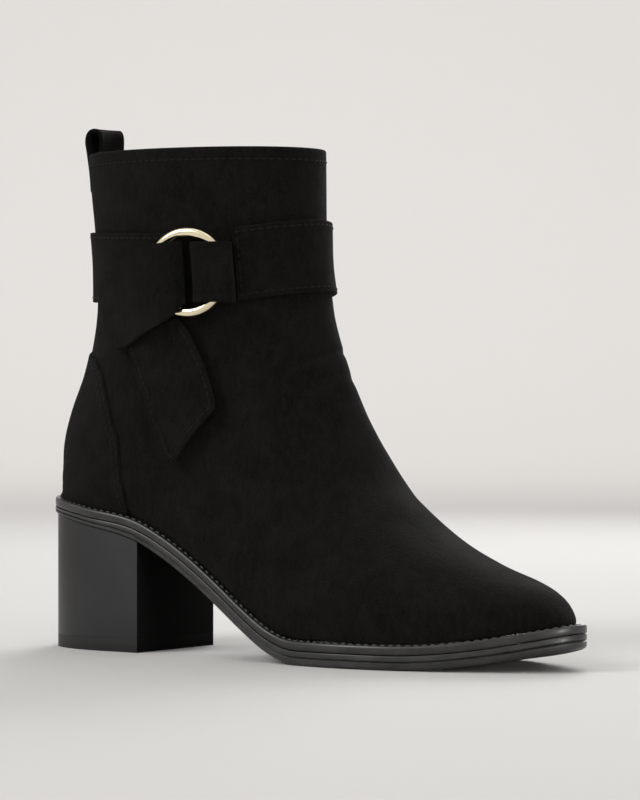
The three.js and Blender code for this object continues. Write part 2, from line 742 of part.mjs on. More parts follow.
function pullTab() {
  const top = pullThickness / 2;
  const windowSide = bridgeWidth / 2 + pullPlay;
  const windowFoot = -bridgeRadius - pullReach;
  const shoulder = windowFoot - pullShoulder;
  const neck = shoulder - pullTaper;
  const end = top - pullLength;
  const endMiddle = end + pullEndWidth / 2;
  const shape = new THREE.Shape();
  shape.moveTo(-pullTopWidth / 2, top);
  shape.lineTo(-pullTopWidth / 2, shoulder);
  shape.lineTo(-pullNeckWidth / 2, neck);
  shape.lineTo(-pullEndWidth / 2, endMiddle);
  shape.absarc(0, endMiddle, pullEndWidth / 2, Math.PI, 2 * Math.PI);
  shape.lineTo(pullNeckWidth / 2, neck);
  shape.lineTo(pullTopWidth / 2, shoulder);
  shape.lineTo(pullTopWidth / 2, top);
  shape.closePath();
  const opening = new THREE.Path();
  opening.moveTo(-windowSide, -top);
  opening.lineTo(windowSide, -top);
  opening.lineTo(windowSide, windowFoot);
  opening.lineTo(-windowSide, windowFoot);
  opening.closePath();
  const slot = new THREE.Path();
  slot.absarc(0, endMiddle, pullSlotWidth / 2, Math.PI, 2 * Math.PI);
  slot.absarc(0, end + pullLength / 2, pullSlotWidth / 2, 0, Math.PI);
  slot.closePath();
  shape.holes.push(opening, slot);
  const tab = new THREE.ExtrudeGeometry(shape, { depth: pullThickness, bevelEnabled: false, curveSegments: 8 });
  tab.translate(0, 0, -pullThickness / 2).rotateX(Math.PI / 2);
  return tab;
}

const slit = zipStrip(zipSlot, wall / 2, 2 * wall, zipFoot, counterThickness + wall);
const counters = manifoldOf(counter(-1)).add(manifoldOf(counter(1)));
const upperParts = manifoldOf(upperShell()).add(counters).subtract(manifoldOf(slit)).decompose();
const upperSolid = upperParts.reduce((largest, part) => (part.volume() > largest.volume() ? part : largest));
addPiece("upper", geometryOf(upperSolid), suede);
addPiece("insole", insole(), lining);
addPiece("welt", welt(), soleEdge);
addPiece("outsole", outsole(), soleEdge);
addPiece("heel", heelBlock(() => liftThickness + gap, (x) => underside(x) - gap), stackedHeel);
addPiece("top_lift", heelBlock(() => 0, () => liftThickness), rubber);
addPiece("front_strap", strapBand(ringPlace(frontStrapFromRing), zipAround - strapZipGap, 22, frontStrapThickness), suede);
addPiece("front_strap_loop", frontLoop(), suede);
addPiece("back_strap", strapBand(zipAround + strapZipGap, 2 + ringPlace(-backStrapFromRing), 32, strapThickness), suede);
addPiece("strap_fold", leather(foldEdges, 6, tailThickness), suede);
addPiece("strap_tail", leather(tailEdges, 5, tailThickness), suede);
addPiece("pull_loop", pullLoop(), suede);
const tapeDepth = wall + curvedGap + tapeThickness / 2;
addPiece("zip_tape", zipStrip(tapeWidth, tapeDepth, tapeThickness, zipFoot - 0.3, -tapeBelowCollar), suede);
const coilWidth = zipSlot - 2 * gap;
const coilDepth = (coilThickness - coilProud) / 2;
addPiece("zip_coil", zipStrip(coilWidth, coilDepth, coilThickness, zipFoot + 0.12, -coilBelowCollar), zipMetal);

const ringNormal = lastNormal(legRow(ringFacing, ringHeight), ringFacing);
const ring = addPiece("ring", new THREE.TorusGeometry(ringRadius, ringWire / 2, 8, 36), gold);
ring.position.copy(legPoint(ringAround, ringHeight, ringOut));
ring.quaternion.setFromUnitVectors(new THREE.Vector3(0, 0, 1), ringNormal);

const zipHead = new THREE.Group();
const sliderHeight = bootHeight - sliderBelowCollar;
const zipNormal = legNormal(zipAround, sliderHeight);
zipHead.position.copy(legPoint(zipAround, sliderHeight));
zipHead.rotation.z = Math.atan2(-zipNormal.x, zipNormal.y);
boot.add(zipHead);
zipHead.add(addPiece("zip_slider", slider(), zipMetal));
const pull = addPiece("zip_pull", pullTab(), zipMetal);
pull.position.set(0, pinOut, pinUp);
zipHead.add(pull);

export default boot;
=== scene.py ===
import math

import bmesh
import bpy
import numpy as np
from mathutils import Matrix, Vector


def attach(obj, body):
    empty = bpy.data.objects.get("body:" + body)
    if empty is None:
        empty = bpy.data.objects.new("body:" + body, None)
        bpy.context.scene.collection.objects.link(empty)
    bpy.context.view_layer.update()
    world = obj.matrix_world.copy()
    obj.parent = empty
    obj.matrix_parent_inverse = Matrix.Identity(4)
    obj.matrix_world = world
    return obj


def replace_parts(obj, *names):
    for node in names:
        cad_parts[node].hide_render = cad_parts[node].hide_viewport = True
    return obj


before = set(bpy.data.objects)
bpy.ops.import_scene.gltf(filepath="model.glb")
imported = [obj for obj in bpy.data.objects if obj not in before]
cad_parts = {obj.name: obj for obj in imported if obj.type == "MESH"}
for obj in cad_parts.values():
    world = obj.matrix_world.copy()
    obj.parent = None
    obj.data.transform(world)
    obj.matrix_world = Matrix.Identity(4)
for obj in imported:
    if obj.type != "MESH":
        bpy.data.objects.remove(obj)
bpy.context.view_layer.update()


# Suede
# The boot's cow suede is brushed to a short dense nap. It is nearly black, dull from every side, and lies in
# soft patches a few millimetres across where hands have brushed it one way or the other.
class Value:
    """A socket of a material's nodes. Arithmetic on it adds Math nodes, and node() adds any other one."""

    def __init__(self, tree, socket=None):
        self.tree = tree
        self.socket = socket

    def node(self, kind, settings, inputs, output=0):
        made = self.tree.nodes.new(kind)
        for name, value in settings.items():
            setattr(made, name, value)
        for name, value in inputs.items():
            self.put(made.inputs[name], value)
        return Value(self.tree, made.outputs[output])

    def put(self, socket, value):
        if isinstance(value, Value):
            self.tree.links.new(value.socket, socket)
        else:
            socket.default_value = value

    def math(self, operation, *values):
        return self.node("ShaderNodeMath", {"operation": operation}, dict(enumerate(values)))

    def __add__(self, other):
        return self.math("ADD", self, other)

    def __sub__(self, other):
        return self.math("SUBTRACT", self, other)

    def __rsub__(self, other):
        return self.math("SUBTRACT", other, self)

    def __mul__(self, other):
        return self.math("MULTIPLY", self, other)

    __radd__ = __add__
    __rmul__ = __mul__

    def between(self, low, high):
        """0 below low, 1 above high and smooth between."""
        settings = {"interpolation_type": "SMOOTHSTEP"}
        return self.node("ShaderNodeMapRange", settings, {"Value": self, "From Min": low, "From Max": high})

    def mix(self, first, second):
        """The colour first where this is 0 and second where it is 1."""
        inputs = {"Factor": self, 6: first, 7: second}
        return self.node("ShaderNodeMix", {"data_type": "RGBA"}, inputs, 2)

    def noise(self, size, detail=2.0, roughness=0.5, stretch=(1, 1, 1)):
        """Noise over this place, whose lumps are about size metres across."""
        scaled = self.node("ShaderNodeVectorMath", {"operation": "MULTIPLY"}, {0: self, 1: stretch})
        inputs = {"Vector": scaled, "Scale": 1 / size, "Detail": detail, "Roughness": roughness}
        return self.node("ShaderNodeTexNoise", {}, inputs)

    def part(self, axis):
        """One coordinate of this place."""
        return self.node("ShaderNodeSeparateXYZ", {}, {0: self}, axis)

    def bump(self, distance, strength=1.0, under=None):
        """Normal of a surface whose height is this value times distance, in metres."""
        inputs = {"Height": self, "Distance": distance, "Strength": strength}
        if under is not None:
            inputs["Normal"] = under
        return self.node("ShaderNodeBump", {}, inputs)


def material(name, constants):
    """A new Principled material with its constants, its shader and the place on it, in metres."""
    made = bpy.data.materials.new(name)
    made.use_nodes = True
    shader = made.node_tree.nodes["Principled BSDF"]
    for key, value in constants.items():
        shader.inputs[key].default_value = value
    place = Value(made.node_tree).node("ShaderNodeTexCoord", {}, {}, "Object")
    return made, shader, place


sheen = {"Sheen Weight": 0.04, "Sheen Roughness": 0.4, "Sheen Tint": (0.5, 0.48, 0.44, 1)}
suede, shader, place = material("suede", {"Specular IOR Level": 0.06, **sheen})
patches = place.noise(0.016, 3, 0.6).between(0.3, 0.7)
strokes = place.noise(0.0022, 3, 0.7, (1, 1, 0.4)).between(0.3, 0.7)
nap = place.noise(0.0007, 3, 0.75).between(0.3, 0.7)
tone = patches * 0.22 + strokes * 0.33 + nap * 0.45
tone.put(shader.inputs["Base Color"], tone.mix((0.0008, 0.0008, 0.0006, 1), (0.0108, 0.0102, 0.0086, 1)))
tone.put(shader.inputs["Roughness"], 1 - patches * 0.1)
tone.put(shader.inputs["Normal"], (nap + strokes * 0.6).bump(0.0003, 1.0))



# Last
# The foot-shaped form that the upper was pulled over. Its sections run from the tip of the toe to the collar,
# each from a top point on the front of the boot to a low point at the sole's edge or on the back of the leg.
# Sizes from here on are in millimetres from the back of the sole, as in the CAD.
last_length = 242
ball_width = 73.5
heel_height = 56.7
toe_spring = 8.9
welt_ledge = 4.3
welt_thickness = 3.3
forepart_thickness = 5.7
seat_thickness = 2.7
heel_length = 57
instep_height = 130
boot_height = 204
collar_length = 108.5
collar_width = 72
wall = 2
gap = 0.3
curved_gap = 0.6
sole_length = last_length + 2 * welt_ledge
tread_start = 0.582 * sole_length
shaft_middle = 0.2885 * sole_length
heel_seat_row = 13
collar_row = 21

# Share of the sole's length, then its underside as shares of the heel's height and the toe spring, and the
# share of the thin seat in its thickness
sole_rows = [
    (0, 1, 0, 1),
    (0.12, 0.905, 0, 0.75),
    (0.227, 0.794, 0, 0.3),
    (0.28, 0.682, 0, 0.1),
    (0.34, 0.525, 0, 0),
    (0.4, 0.357, 0, 0),
    (0.46, 0.193, 0, 0),
    (0.512, 0.07, 0, 0),
    (0.55, 0.014, 0, 0),
    (0.582, 0, 0, 0),
    (0.749, 0, 0, 0),
    (0.817, 0, 0.1, 0),
    (0.896, 0, 0.4, 0),
    (0.956, 0, 0.73, 0),
    (1, 0, 1, 0),
]
# Feather line in plan: share of the last's length, then its middle and half width as shares of the ball's
# width
feather_rows = [
    (0, 0, 0),
    (0.02, 0, 0.181),
    (0.06, 0, 0.263),
    (0.11, 0, 0.305),
    (0.23, -0.007, 0.303),
    (0.375, -0.048, 0.288),
    (0.52, -0.041, 0.389),
    (0.645, -0.014, 0.472),
    (0.72, 0.016, 0.482),
    (0.81, 0.031, 0.419),
    (0.91, 0.033, 0.28),
    (0.965, 0.034, 0.166),
    (1, 0.034, 0),
]
# Sections: the top point's place and height, the low point's place on the feather line or behind the collar's
# middle and its level, the width, the sway, and where and how squarely the section is widest
last_rows = [
    (0.983, 0, 0, 0, 1, 0, 0, 0, 0, 0.034, 0.75, 2.1),
    (0.973, 0, 0.046, 0, 0.989, 0, 0, 0.034, 0, 0.036, 0.76, 2.1),
    (0.946, 0, 0.111, 0, 0.957, 0, 0, 0.068, 0, 0.04, 0.78, 2.15),
    (0.898, 0, 0.174, 0, 0.909, 0, 0, 0.095, 0, 0.05, 0.8, 2.2),
    (0.814, 0, 0.252, 0, 0.835, 0, 0, 0.116, 0, 0.07, 0.8, 2.2),
    (0.718, 0, 0.358, 0, 0.744, 0, 0, 0.128, 0, 0.09, 0.8, 2.1),
    (0.65, 0, 0.482, 0, 0.637, 0, 0, 0.17, 0, 0.095, 0.78, 2),
    (0.6085, 0, 0.619, 0, 0.52, 0, 0, 0.226, 0, 0.09, 0.74, 1.95),
    (0.5886, 0, 0.702, 0, 0.416, 0, 0, 0.3, 0, 0.075, 0.68, 1.9),
    (0.5746, 0, 0.776, 0, 0.313, 0, 0, 0.304, 0, 0.055, 0.62, 1.9),
    (0.5607, 0, 0.855, 0, 0.21, 0, 0, 0.303, 0, 0.035, 0.58, 1.9),
    (0.5507, 0, 0.925, 0, 0.107, 0, 0, 0.31, 0, 0.02, 0.55, 1.95),
    (0.5447, 0, 0.971, 0, 0.026, 0, 0, 0.388, 0, 0.01, 0.53, 2),
    (0.2885, 0.5825, 1, 0, 0, 0.6267, 0, 0, 0.449, 0.005, 0.52, 2),
    (0.2885, 0.571, 1, 0.061, 0, 0.644, 0.197, 0, 0.449, 0, 0.51, 2),
    (0.2885, 0.5595, 1, 0.122, 0, 0.602, 0.408, 0, 0.444, 0, 0.5, 2),
    (0.2885, 0.548, 1, 0.203, 0, 0.5244, 0.61, 0, 0.442, 0, 0.5, 2),
    (0.2885, 0.532, 1, 0.297, 0, 0.4756, 0.798, 0, 0.444, 0, 0.5, 2),
    (0.2885, 0.5207, 1, 0.405, 0, 0.4664, 0.948, 0, 0.453, 0, 0.5, 2),
    (0.2885, 0.5115, 1, 0.581, 0, 0.4765, 1, 0, 0.469, 0, 0.5, 2.05),
    (0.2885, 0.504, 1, 0.784, 0, 0.4894, 1, 0, 0.486, 0, 0.5, 2.1),
    (0.2885, 0.5, 1, 1, 0, 0.5, 1, 0, 0.5, 0, 0.5, 2.1),
]


def lerp(first, second, share):
    return first + (second - first) * share


def smooth(places, values, round_start=False, round_end=False, flat=False):
    """Cubic through values at places, level at a round end and, where flat, beside an equal value."""
    places = np.array(places, float)
    values = np.array(values, float)
    widths = np.diff(places)
    steps = np.diff(values) / widths
    slopes = np.empty(len(values))
    slopes[0] = 0 if round_start else steps[0]
    slopes[-1] = 0 if round_end else steps[-1]
    slopes[1:-1] = (steps[:-1] * widths[1:] + steps[1:] * widths[:-1]) / (widths[:-1] + widths[1:])
    if flat:
        slopes[1:-1][(steps[:-1] == 0) | (steps[1:] == 0)] = 0

    def value(at):
        i = np.clip(np.searchsorted(places, at) - 1, 0, len(widths) - 1)
        width = widths[i]
        u = np.clip((at - places[i]) / width, 0, 1)
        start = (1 + u * u * (2 * u - 3)) * values[i] + u * (1 - u) ** 2 * width * slopes[i]
        end = u * u * (3 - 2 * u) * values[i + 1] + u * u * (u - 1) * width * slopes[i + 1]
        return start + end

    return value


sole_place, *sole_columns = zip(*sole_rows)
sole_heel, sole_toe, sole_seat = [smooth(sole_place, values, flat=True) for values in sole_columns]


def underside(x):
    return heel_height * sole_heel(x / sole_length) + toe_spring * sole_toe(x / sole_length)


def outsole_thickness(x):
    return lerp(forepart_thickness, seat_thickness, sole_seat(x / sole_length))


def welt_bottom(x):
    return underside(x) + outsole_thickness(x) + gap


def feather_height(x):
    return welt_bottom(x) + welt_thickness + curved_gap


def end_angle(along):
    return np.arccos(np.clip(1 - 2 * np.asarray(along, float), -1, 1))


feather_place, *feather_columns = zip(*feather_rows)
feather_middle, feather_half = [smooth(end_angle(feather_place), values) for values in feather_columns]
numbers = range(len(last_rows))
columns = list(zip(*last_rows))
top_sole = smooth(numbers, columns[0], round_start=True)
top_collar, instep_share, shaft_share = [smooth(numbers, columns[i]) for i in (1, 2, 3)]
foot_numbers = range(heel_seat_row + 1)
low_along = smooth(foot_numbers, columns[4][: heel_seat_row + 1], round_start=True, round_end=True)
leg_numbers = range(heel_seat_row, len(last_rows))
back_share, level_share = [smooth(leg_numbers, columns[i][heel_seat_row:]) for i in (5, 6)]
ball_share, cuff_share, sway_share = [smooth(numbers, columns[i]) for i in (7, 8, 9)]
widest_place, fullness = [smooth(numbers, columns[i]) for i in (10, 11)]


def plain_last(row, around):
    """Points on the last as the sections give them."""
    side = np.where(around < 0, -1, 1)
    share = np.abs(around)
    top_x = top_sole(row) * sole_length + top_collar(row) * collar_length
    instep_rise = instep_share(row) * (instep_height - feather_height(tread_start))
    shaft_rise = shaft_share(row) * (boot_height - instep_height)
    top_z = feather_height(np.maximum(top_x, tread_start)) + instep_rise + shaft_rise
    on_feather = row <= heel_seat_row
    along_last = np.where(on_feather, low_along(row), 0)
    leg_back = shaft_middle - back_share(row) * collar_length
    low_x = np.where(on_feather, welt_ledge + last_length * along_last, leg_back)
    seat = feather_height(welt_ledge)
    low_z = np.where(on_feather, feather_height(low_x), lerp(seat, top_z, level_share(row)))
    angle = end_angle(along_last)
    half = ball_width * feather_half(angle)
    wide = np.hypot(half, ball_share(row) * ball_width + cuff_share(row) * collar_width)
    widest = widest_place(row)
    front_turn = math.pi / 2 * np.clip(share / widest, 0, 1)
    back_turn = math.pi / 2 * np.clip((share - widest) / (1 - widest), 0, 1)
    power = 2 / fullness(row)
    in_front = share <= widest
    along = np.where(
        in_front,
        widest * (1 - np.clip(np.cos(front_turn), 0, 1) ** power),
        widest + (1 - widest) * np.sin(back_turn),
    )
    out = np.where(in_front, wide * np.sin(front_turn) ** power, half + (wide - half) * np.cos(back_turn))
    middle = lerp(sway_share(row) * ball_width, ball_width * feather_middle(angle), along)
    return np.stack([lerp(top_x, low_x, along), middle + side * out, lerp(top_z, low_z, along)], axis=-1)


def last_point(row, around):
    """Points on the last, eased where the foot's sections turn into the leg's."""
    row, around = np.broadcast_arrays(np.asarray(row, float), np.asarray(around, float))
    near = np.clip(1 - np.abs(row - heel_seat_row) / 3, 0, 1)
    inside = np.clip((1 - np.abs(around)) / 0.15, 0, 1)
    reach = 1.1 * near * near * (3 - 2 * near) * inside * inside * (3 - 2 * inside)
    weights = {-1: 0.15, -0.5: 0.22, 0: 0.26, 0.5: 0.22, 1: 0.15}
    return sum(weight * plain_last(row + share * reach, around) for share, weight in weights.items())


def last_normal(row, around):
    """Directions out of the last."""
    step = 0.006
    row, around = np.broadcast_arrays(np.asarray(row, float), np.asarray(around, float))
    turned = (around + step > 1) & (row > heel_seat_row)
    after = np.where(turned, around + step - 2, np.minimum(around + step, 1))
    turned = (around - step < -1) & (row > heel_seat_row)
    before = np.where(turned, around - step + 2, np.maximum(around - step, -1))
    across = last_point(row, after) - last_point(row, before)
    up = last_point(np.minimum(row + step, collar_row), around) - last_point(row - step, around)
    normal = np.cross(across, up)
    return normal / np.linalg.norm(normal, axis=-1, keepdims=True)


def round_the_back(around):
    return (np.asarray(around, float) + 1) % 2 - 1


def leg_row(around, height):
    """Section of the last that passes through a height of the leg."""
    low = np.full(np.broadcast(around, height).shape, heel_seat_row - 6.0)
    high = np.full(low.shape, float(collar_row))
    for _ in range(26):
        middle = (low + high) / 2
        below = last_point(middle, around)[..., 2] < height
        low = np.where(below, middle, low)
        high = np.where(below, high, middle)
    return high


def leg_normal(around, height):
    around = round_the_back(around)
    normal = last_normal(leg_row(around, np.minimum(height, boot_height)), around)
    normal[..., 2] = 0
    return normal / np.linalg.norm(normal, axis=-1, keepdims=True)


def leg_point(around, height, out=0.0):
    """Points of the leg at a height, moved level out from its surface."""
    around, height, out = np.broadcast_arrays(np.asarray(around, float), height, out)
    place = round_the_back(around)
    points = last_point(leg_row(place, np.minimum(height, boot_height)), place)
    points = points + leg_normal(around, height) * out[..., None]
    points[..., 2] = height
    return points


def to_row(points):
    """Millimetres from the back of the sole to metres in the row's frame."""
    return (np.asarray(points, float).reshape(-1, 3) - (heel_length / 2, 0, 0)) / 1000


def add_piece(name, points, faces, materials, body="boot", choose=None, sharp=50, bevel=0.0):
    """A mesh piece that rides on a body. choose gives each face's material; bevel rounds its sharp edges."""
    mesh = bpy.data.meshes.new(name)
    mesh.from_pydata(to_row(points).tolist(), [], [list(map(int, face)) for face in faces])
    for made in materials:
        mesh.materials.append(made)
    if choose is not None:
        mesh.polygons.foreach_set("material_index", choose)
    shape = bmesh.new()
    shape.from_mesh(mesh)
    bmesh.ops.remove_doubles(shape, verts=shape.verts, dist=2e-6)
    bmesh.ops.dissolve_degenerate(shape, dist=1e-7, edges=shape.edges)
    bmesh.ops.recalc_face_normals(shape, faces=shape.faces)
    if bevel:
        limit = math.radians(sharp)
        edges = [edge for edge in shape.edges if len(edge.link_faces) == 2]
        edges = [edge for edge in edges if edge.calc_face_angle() > limit]
        size = {"offset": bevel / 1000, "segments": 3, "profile": 0.5}
        bmesh.ops.bevel(shape, geom=edges, affect="EDGES", clamp_overlap=True, **size)
    for face in shape.faces:
        face.smooth = True
    shape.to_mesh(mesh)
    shape.free()
    mesh.set_sharp_from_angle(angle=math.radians(sharp))
    made = bpy.data.objects.new(name, mesh)
    bpy.context.collection.objects.link(made)
    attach(made, body)
    return made


def grid_faces(rows, columns, start=0):
    """Faces of a grid of points numbered row by row."""
    i, j = np.meshgrid(np.arange(rows - 1), np.arange(columns - 1), indexing="ij")
    corner = (start + i * columns + j).ravel()
    return np.stack([corner, corner + 1, corner + columns + 1, corner + columns], axis=1)


# Upper
# One stretch of suede from the toe to the collar, lasted tight over the foot, with a leather lining inside.
# Its topline is folded over and stitched, and the zip's slit is cut in its inner side.
zip_around = 0.42
zip_foot = 11.2
zip_slot = 5.4
foot_places = np.linspace(1, heel_seat_row, 121)[1:]
leg_places = np.linspace(heel_seat_row, collar_row, 73)[1:]
row_places = np.concatenate([np.linspace(0, 1, 9), foot_places, leg_places])
zip_step = 0.01
zip_here = last_point(row_places, zip_around)
zip_per_share = np.linalg.norm(last_point(row_places, zip_around + zip_step) - zip_here, axis=-1) / zip_step
slit_half = np.sqrt(np.clip((row_places - zip_foot) / 0.25, 0, 1)) * (zip_slot / 2) / zip_per_share
outer_share = np.linspace(0, 1, 108)
inner_share = np.linspace(0, 1, 46)
around_places = np.concatenate(
    [
        lerp(-1, zip_around - slit_half[:, None], outer_share),
        lerp(zip_around + slit_half[:, None], 1, inner_share),
    ],
    axis=1,
)
slit_column = len(outer_share) - 1
seat_index = int(np.searchsorted(row_places, heel_seat_row))
outside = last_point(row_places[:, None], around_places)
normals = last_normal(row_places[:, None], around_places)
level = np.zeros(outside.shape[:2], bool)
level[: seat_index + 1, [0, -1]] = True
level[-1] = True
level_normals = normals * (1, 1, 0)
level_normals /= np.linalg.norm(level_normals, axis=-1, keepdims=True)
normals = np.where(level[..., None], level_normals, normals)
# Soft creases across the ankle and over the ball: section, how it slants, its ends round the boot, its depth
# and its width
creases = [
    (11.3, 0.7, -0.34, 0.22, 0.5, 0.34),
    (10.1, -0.6, -0.2, 0.3, 0.4, 0.3),
    (9.1, 0.9, -0.36, 0.12, 0.45, 0.32),
    (6.9, 0.9, -0.36, 0.1, 0.3, 0.3),
    (6.2, -0.8, -0.1, 0.34, 0.25, 0.26),
]
for section, slant, start, end, depth, width in creases:
    off = (row_places[:, None] - section - slant * around_places) / width
    span = np.clip(np.minimum(around_places - start, end - around_places) / 0.12, 0, 1)
    dip = depth * np.exp(-off * off) * (1 - off * off / 2) * span * span * (3 - 2 * span)
    outside = outside - normals * dip[..., None]
inside = outside - wall * normals
outside[-1, :, 2] -= wall / 2
inside[-1, :, 2] -= wall / 2
rim_middle = (outside[-1] + inside[-1]) / 2
turns = np.linspace(0, math.pi, 7)[1:-1, None, None]
rim = rim_middle + wall / 2 * (np.cos(turns) * normals[-1] + np.sin(turns) * np.array((0, 0, 1)))
shell = np.concatenate([outside, rim, inside[::-1]])
shell_rows, shell_columns = shell.shape[:2]
faces = grid_faces(shell_rows, shell_columns)
row_of_face = np.repeat(np.arange(shell_rows - 1), shell_columns - 1)
column_of_face = np.tile(np.arange(shell_columns - 1), shell_rows - 1)
last_outer = len(row_places) - 1
depth_row = np.minimum(row_of_face, shell_rows - 2 - row_of_face)
slit_start = int(np.searchsorted(row_places, zip_foot))
open_slit = (column_of_face == slit_column) & (depth_row >= slit_start)
faces = faces[~open_slit]
lined = row_of_face[~open_slit] > last_outer + 5
number = np.arange(shell_rows * shell_columns).reshape(shell_rows, shell_columns)
edge_faces = []
for column, rows in (
    (0, range(seat_index)),
    (shell_columns - 1, range(seat_index)),
    (slit_column, range(slit_start, last_outer)),
    (slit_column + 1, range(slit_start, last_outer)),
):
    for i in rows:
        opposite = shell_rows - 1 - i
        edge_faces.append(
            (number[i, column], number[i + 1, column], number[opposite - 1, column], number[opposite, column])
        )
lining_leather, shader, place = material("lining_leather", {"Specular IOR Level": 0.35})
pores = place.noise(0.0009, 3, 0.6)
wear = place.noise(0.02, 2)
pores.put(shader.inputs["Base Color"], wear.mix((0.010, 0.0095, 0.009, 1), (0.016, 0.015, 0.014, 1)))
pores.put(shader.inputs["Roughness"], 0.55 + pores * 0.2)
pores.put(shader.inputs["Normal"], pores.bump(0.00012, 0.5))
choose = np.concatenate([lined.astype(int), np.zeros(len(edge_faces), int)])
upper = add_piece(
    "upper_suede", shell, [*faces, *edge_faces], [suede, lining_leather], choose=choose, sharp=60
)
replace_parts(upper, "upper")


# Stitching
# Waxed black thread, about eight stitches to the inch along the leather's edges, each stitch pulled into the
# suede at its ends.
thread, shader, place = material("thread", {"Specular IOR Level": 0.15})
twist = place.noise(0.0004, 2)
twist.put(shader.inputs["Base Color"], twist.mix((0.0018, 0.0018, 0.0016, 1), (0.0080, 0.0077, 0.0068, 1)))
twist.put(shader.inputs["Roughness"], 0.45 + twist * 0.2)


def even_path(points, step):
    """Places at even steps along a line of points."""
    lengths = np.concatenate([[0], np.cumsum(np.linalg.norm(np.diff(points, axis=0), axis=1))])
    count = max(2, int(round(lengths[-1] / step)) + 1)
    at = np.linspace(0, lengths[-1], count)
    return np.stack([np.interp(at, lengths, points[:, axis]) for axis in range(3)], axis=1)


def add_stitches(name, paths, pitch=3.2, length=2.4, radius=0.24, made=None, body="boot", slot="suede"):
    """Stitches along lines. Each path is its points and the directions out of the leather there."""
    turn = np.linspace(0, 2 * math.pi, 6, endpoint=False)
    share = np.linspace(-1, 1, 6)
    thick = np.sqrt(np.clip(1 - share**4, 0, 1)) * 0.9 + 0.1
    points = []
    faces = []
    for line, out in paths:
        middle = even_path(line, pitch)
        nearest = np.argmin(np.linalg.norm(middle[:, None] - line[None], axis=2), axis=1)
        direction = out[nearest]
        along = np.gradient(middle, axis=0)
        along /= np.linalg.norm(along, axis=1, keepdims=True)
        side = np.cross(along, direction)
        side /= np.linalg.norm(side, axis=1, keepdims=True)
        up = np.cross(side, along)
        for centre, a, s, u in zip(middle, along, side, up):
            start = len(points)
            for t, k in zip(share, thick):
                ring = centre + a * t * length / 2 + u * (0.12 - 0.35 * t * t) * radius
                for angle in turn:
                    points.append(ring + radius * k * (s * math.cos(angle) + u * math.sin(angle)))
            for i in range(len(share) - 1):
                for j in range(6):
                    first = start + i * 6 + j
                    second = start + i * 6 + (j + 1) % 6
                    faces.append((first, second, second + 6, first + 6))
            faces.append([start + j for j in range(5, -1, -1)])
            faces.append([start + 30 + j for j in range(6)])
    return add_piece(name, points, faces, [made or thread], body=body, sharp=80)


hem_depth = 5.0
hem_from_zip = 0.03
collar_around = np.linspace(zip_around + hem_from_zip, 2 + zip_around - hem_from_zip, 400)
hem = leg_point(collar_around, boot_height - hem_depth, 0.1)
add_stitches("topline_stitches", [(hem, leg_normal(collar_around, boot_height - hem_depth))])


# Counter
# A stiff piece of suede laid over the heel of the upper, its front edge stitched down with two rows.
counter_step = 0.9
counter_bevel = 1.1
counter_seams = (2.0, 4.6)
counter_rows = [
    (10.2, 0.89),
    (10.4, 0.82),
    (10.95, 0.72),
    (11.9, 0.633),
    (12.6, 0.608),
    (13.3, 0.602),
    (14.2, 0.61),
    (15.05, 0.64),
    (15.8, 0.705),
    (16.25, 0.8),
    (16.45, 0.92),
]
counter_edge = smooth(*zip(*counter_rows))
top_section = counter_rows[-1][0]
section = lerp(counter_rows[0][0], top_section + 0.06, 1 - (1 - np.linspace(0, 1, 90)) ** 1.4)
inward = np.linspace(0, 1, 60) ** 1.8
edge_line_section = np.linspace(counter_rows[0][0], top_section, 240)
half_pieces = []
paths = []
for side in (-1, 1):
    start = counter_edge(np.minimum(section, top_section))
    around = side * lerp(start[:, None], 1, inward)
    skin = last_point(section[:, None], around)
    out = last_normal(section[:, None], around)
    line_around = side * counter_edge(edge_line_section)
    line = last_point(edge_line_section, line_around)
    top_line = last_point(top_section, side * np.linspace(counter_edge(top_section), 1, 20))
    rim_line = np.concatenate([line, top_line])
    flat_skin = skin.reshape(-1, 3)
    distance = np.min(np.linalg.norm(flat_skin[:, None] - rim_line[None], axis=2), axis=1)
    distance = distance.reshape(skin.shape[:2])
    distance[section > top_section] = 0
    share = np.clip(distance / counter_bevel, 0, 1)
    height = -0.25 + (counter_step + 0.25) * np.sqrt(1 - (1 - share) ** 2)
    half_pieces.append(skin + out * height[..., None])
    for inset in counter_seams:
        seam_section = np.linspace(counter_rows[0][0] + 0.25, top_section - 0.35, 200)
        seam_around = counter_edge(seam_section)
        here = last_point(seam_section, side * seam_around)
        across = last_point(seam_section, side * (seam_around + 0.01))
        per_share = np.linalg.norm(across - here, axis=1) / 0.01
        seam_around = seam_around + inset / per_share
        seam_out = last_normal(seam_section, side * seam_around)
        seam = last_point(seam_section, side * seam_around) + seam_out * (counter_step + 0.05)
        paths.append((seam, seam_out))
faces = []
for index, half_piece in enumerate(half_pieces):
    rows, columns = half_piece.shape[:2]
    faces.extend(grid_faces(rows, columns, start=index * rows * columns))
add_piece("counter", np.concatenate(half_pieces).reshape(-1, 3), faces, [suede])
add_stitches("counter_stitches", paths)


# Straps
# A band of suede round the shaft in two lengths. The front one is two layers stitched together and ends in a
# loop round the ring. The back one is a single length, pulled up through the ring, folded back over it and
# left hanging as a slanted tail.
strap_width = 28.8
strap_height = 157
strap_gap = 0.5
front_strap_thickness = 1.9
strap_thickness = 1.6
tail_thickness = 1.5
loop_thickness = 1.3
loop_width = 24
front_strap_end = -0.2968
back_strap_end = -0.452
strap_zip_gap = 0.036
strap_rise = smooth((0, 0.16, 0.3, 0.42, 0.6, 0.8, 1), (4, 2.6, 0.2, -1.6, -1, 0.2, 0.6))
ring_around = -0.415
ring_height = 154


def strap_middle(around):
    return strap_height + strap_rise(np.abs(round_the_back(around)))


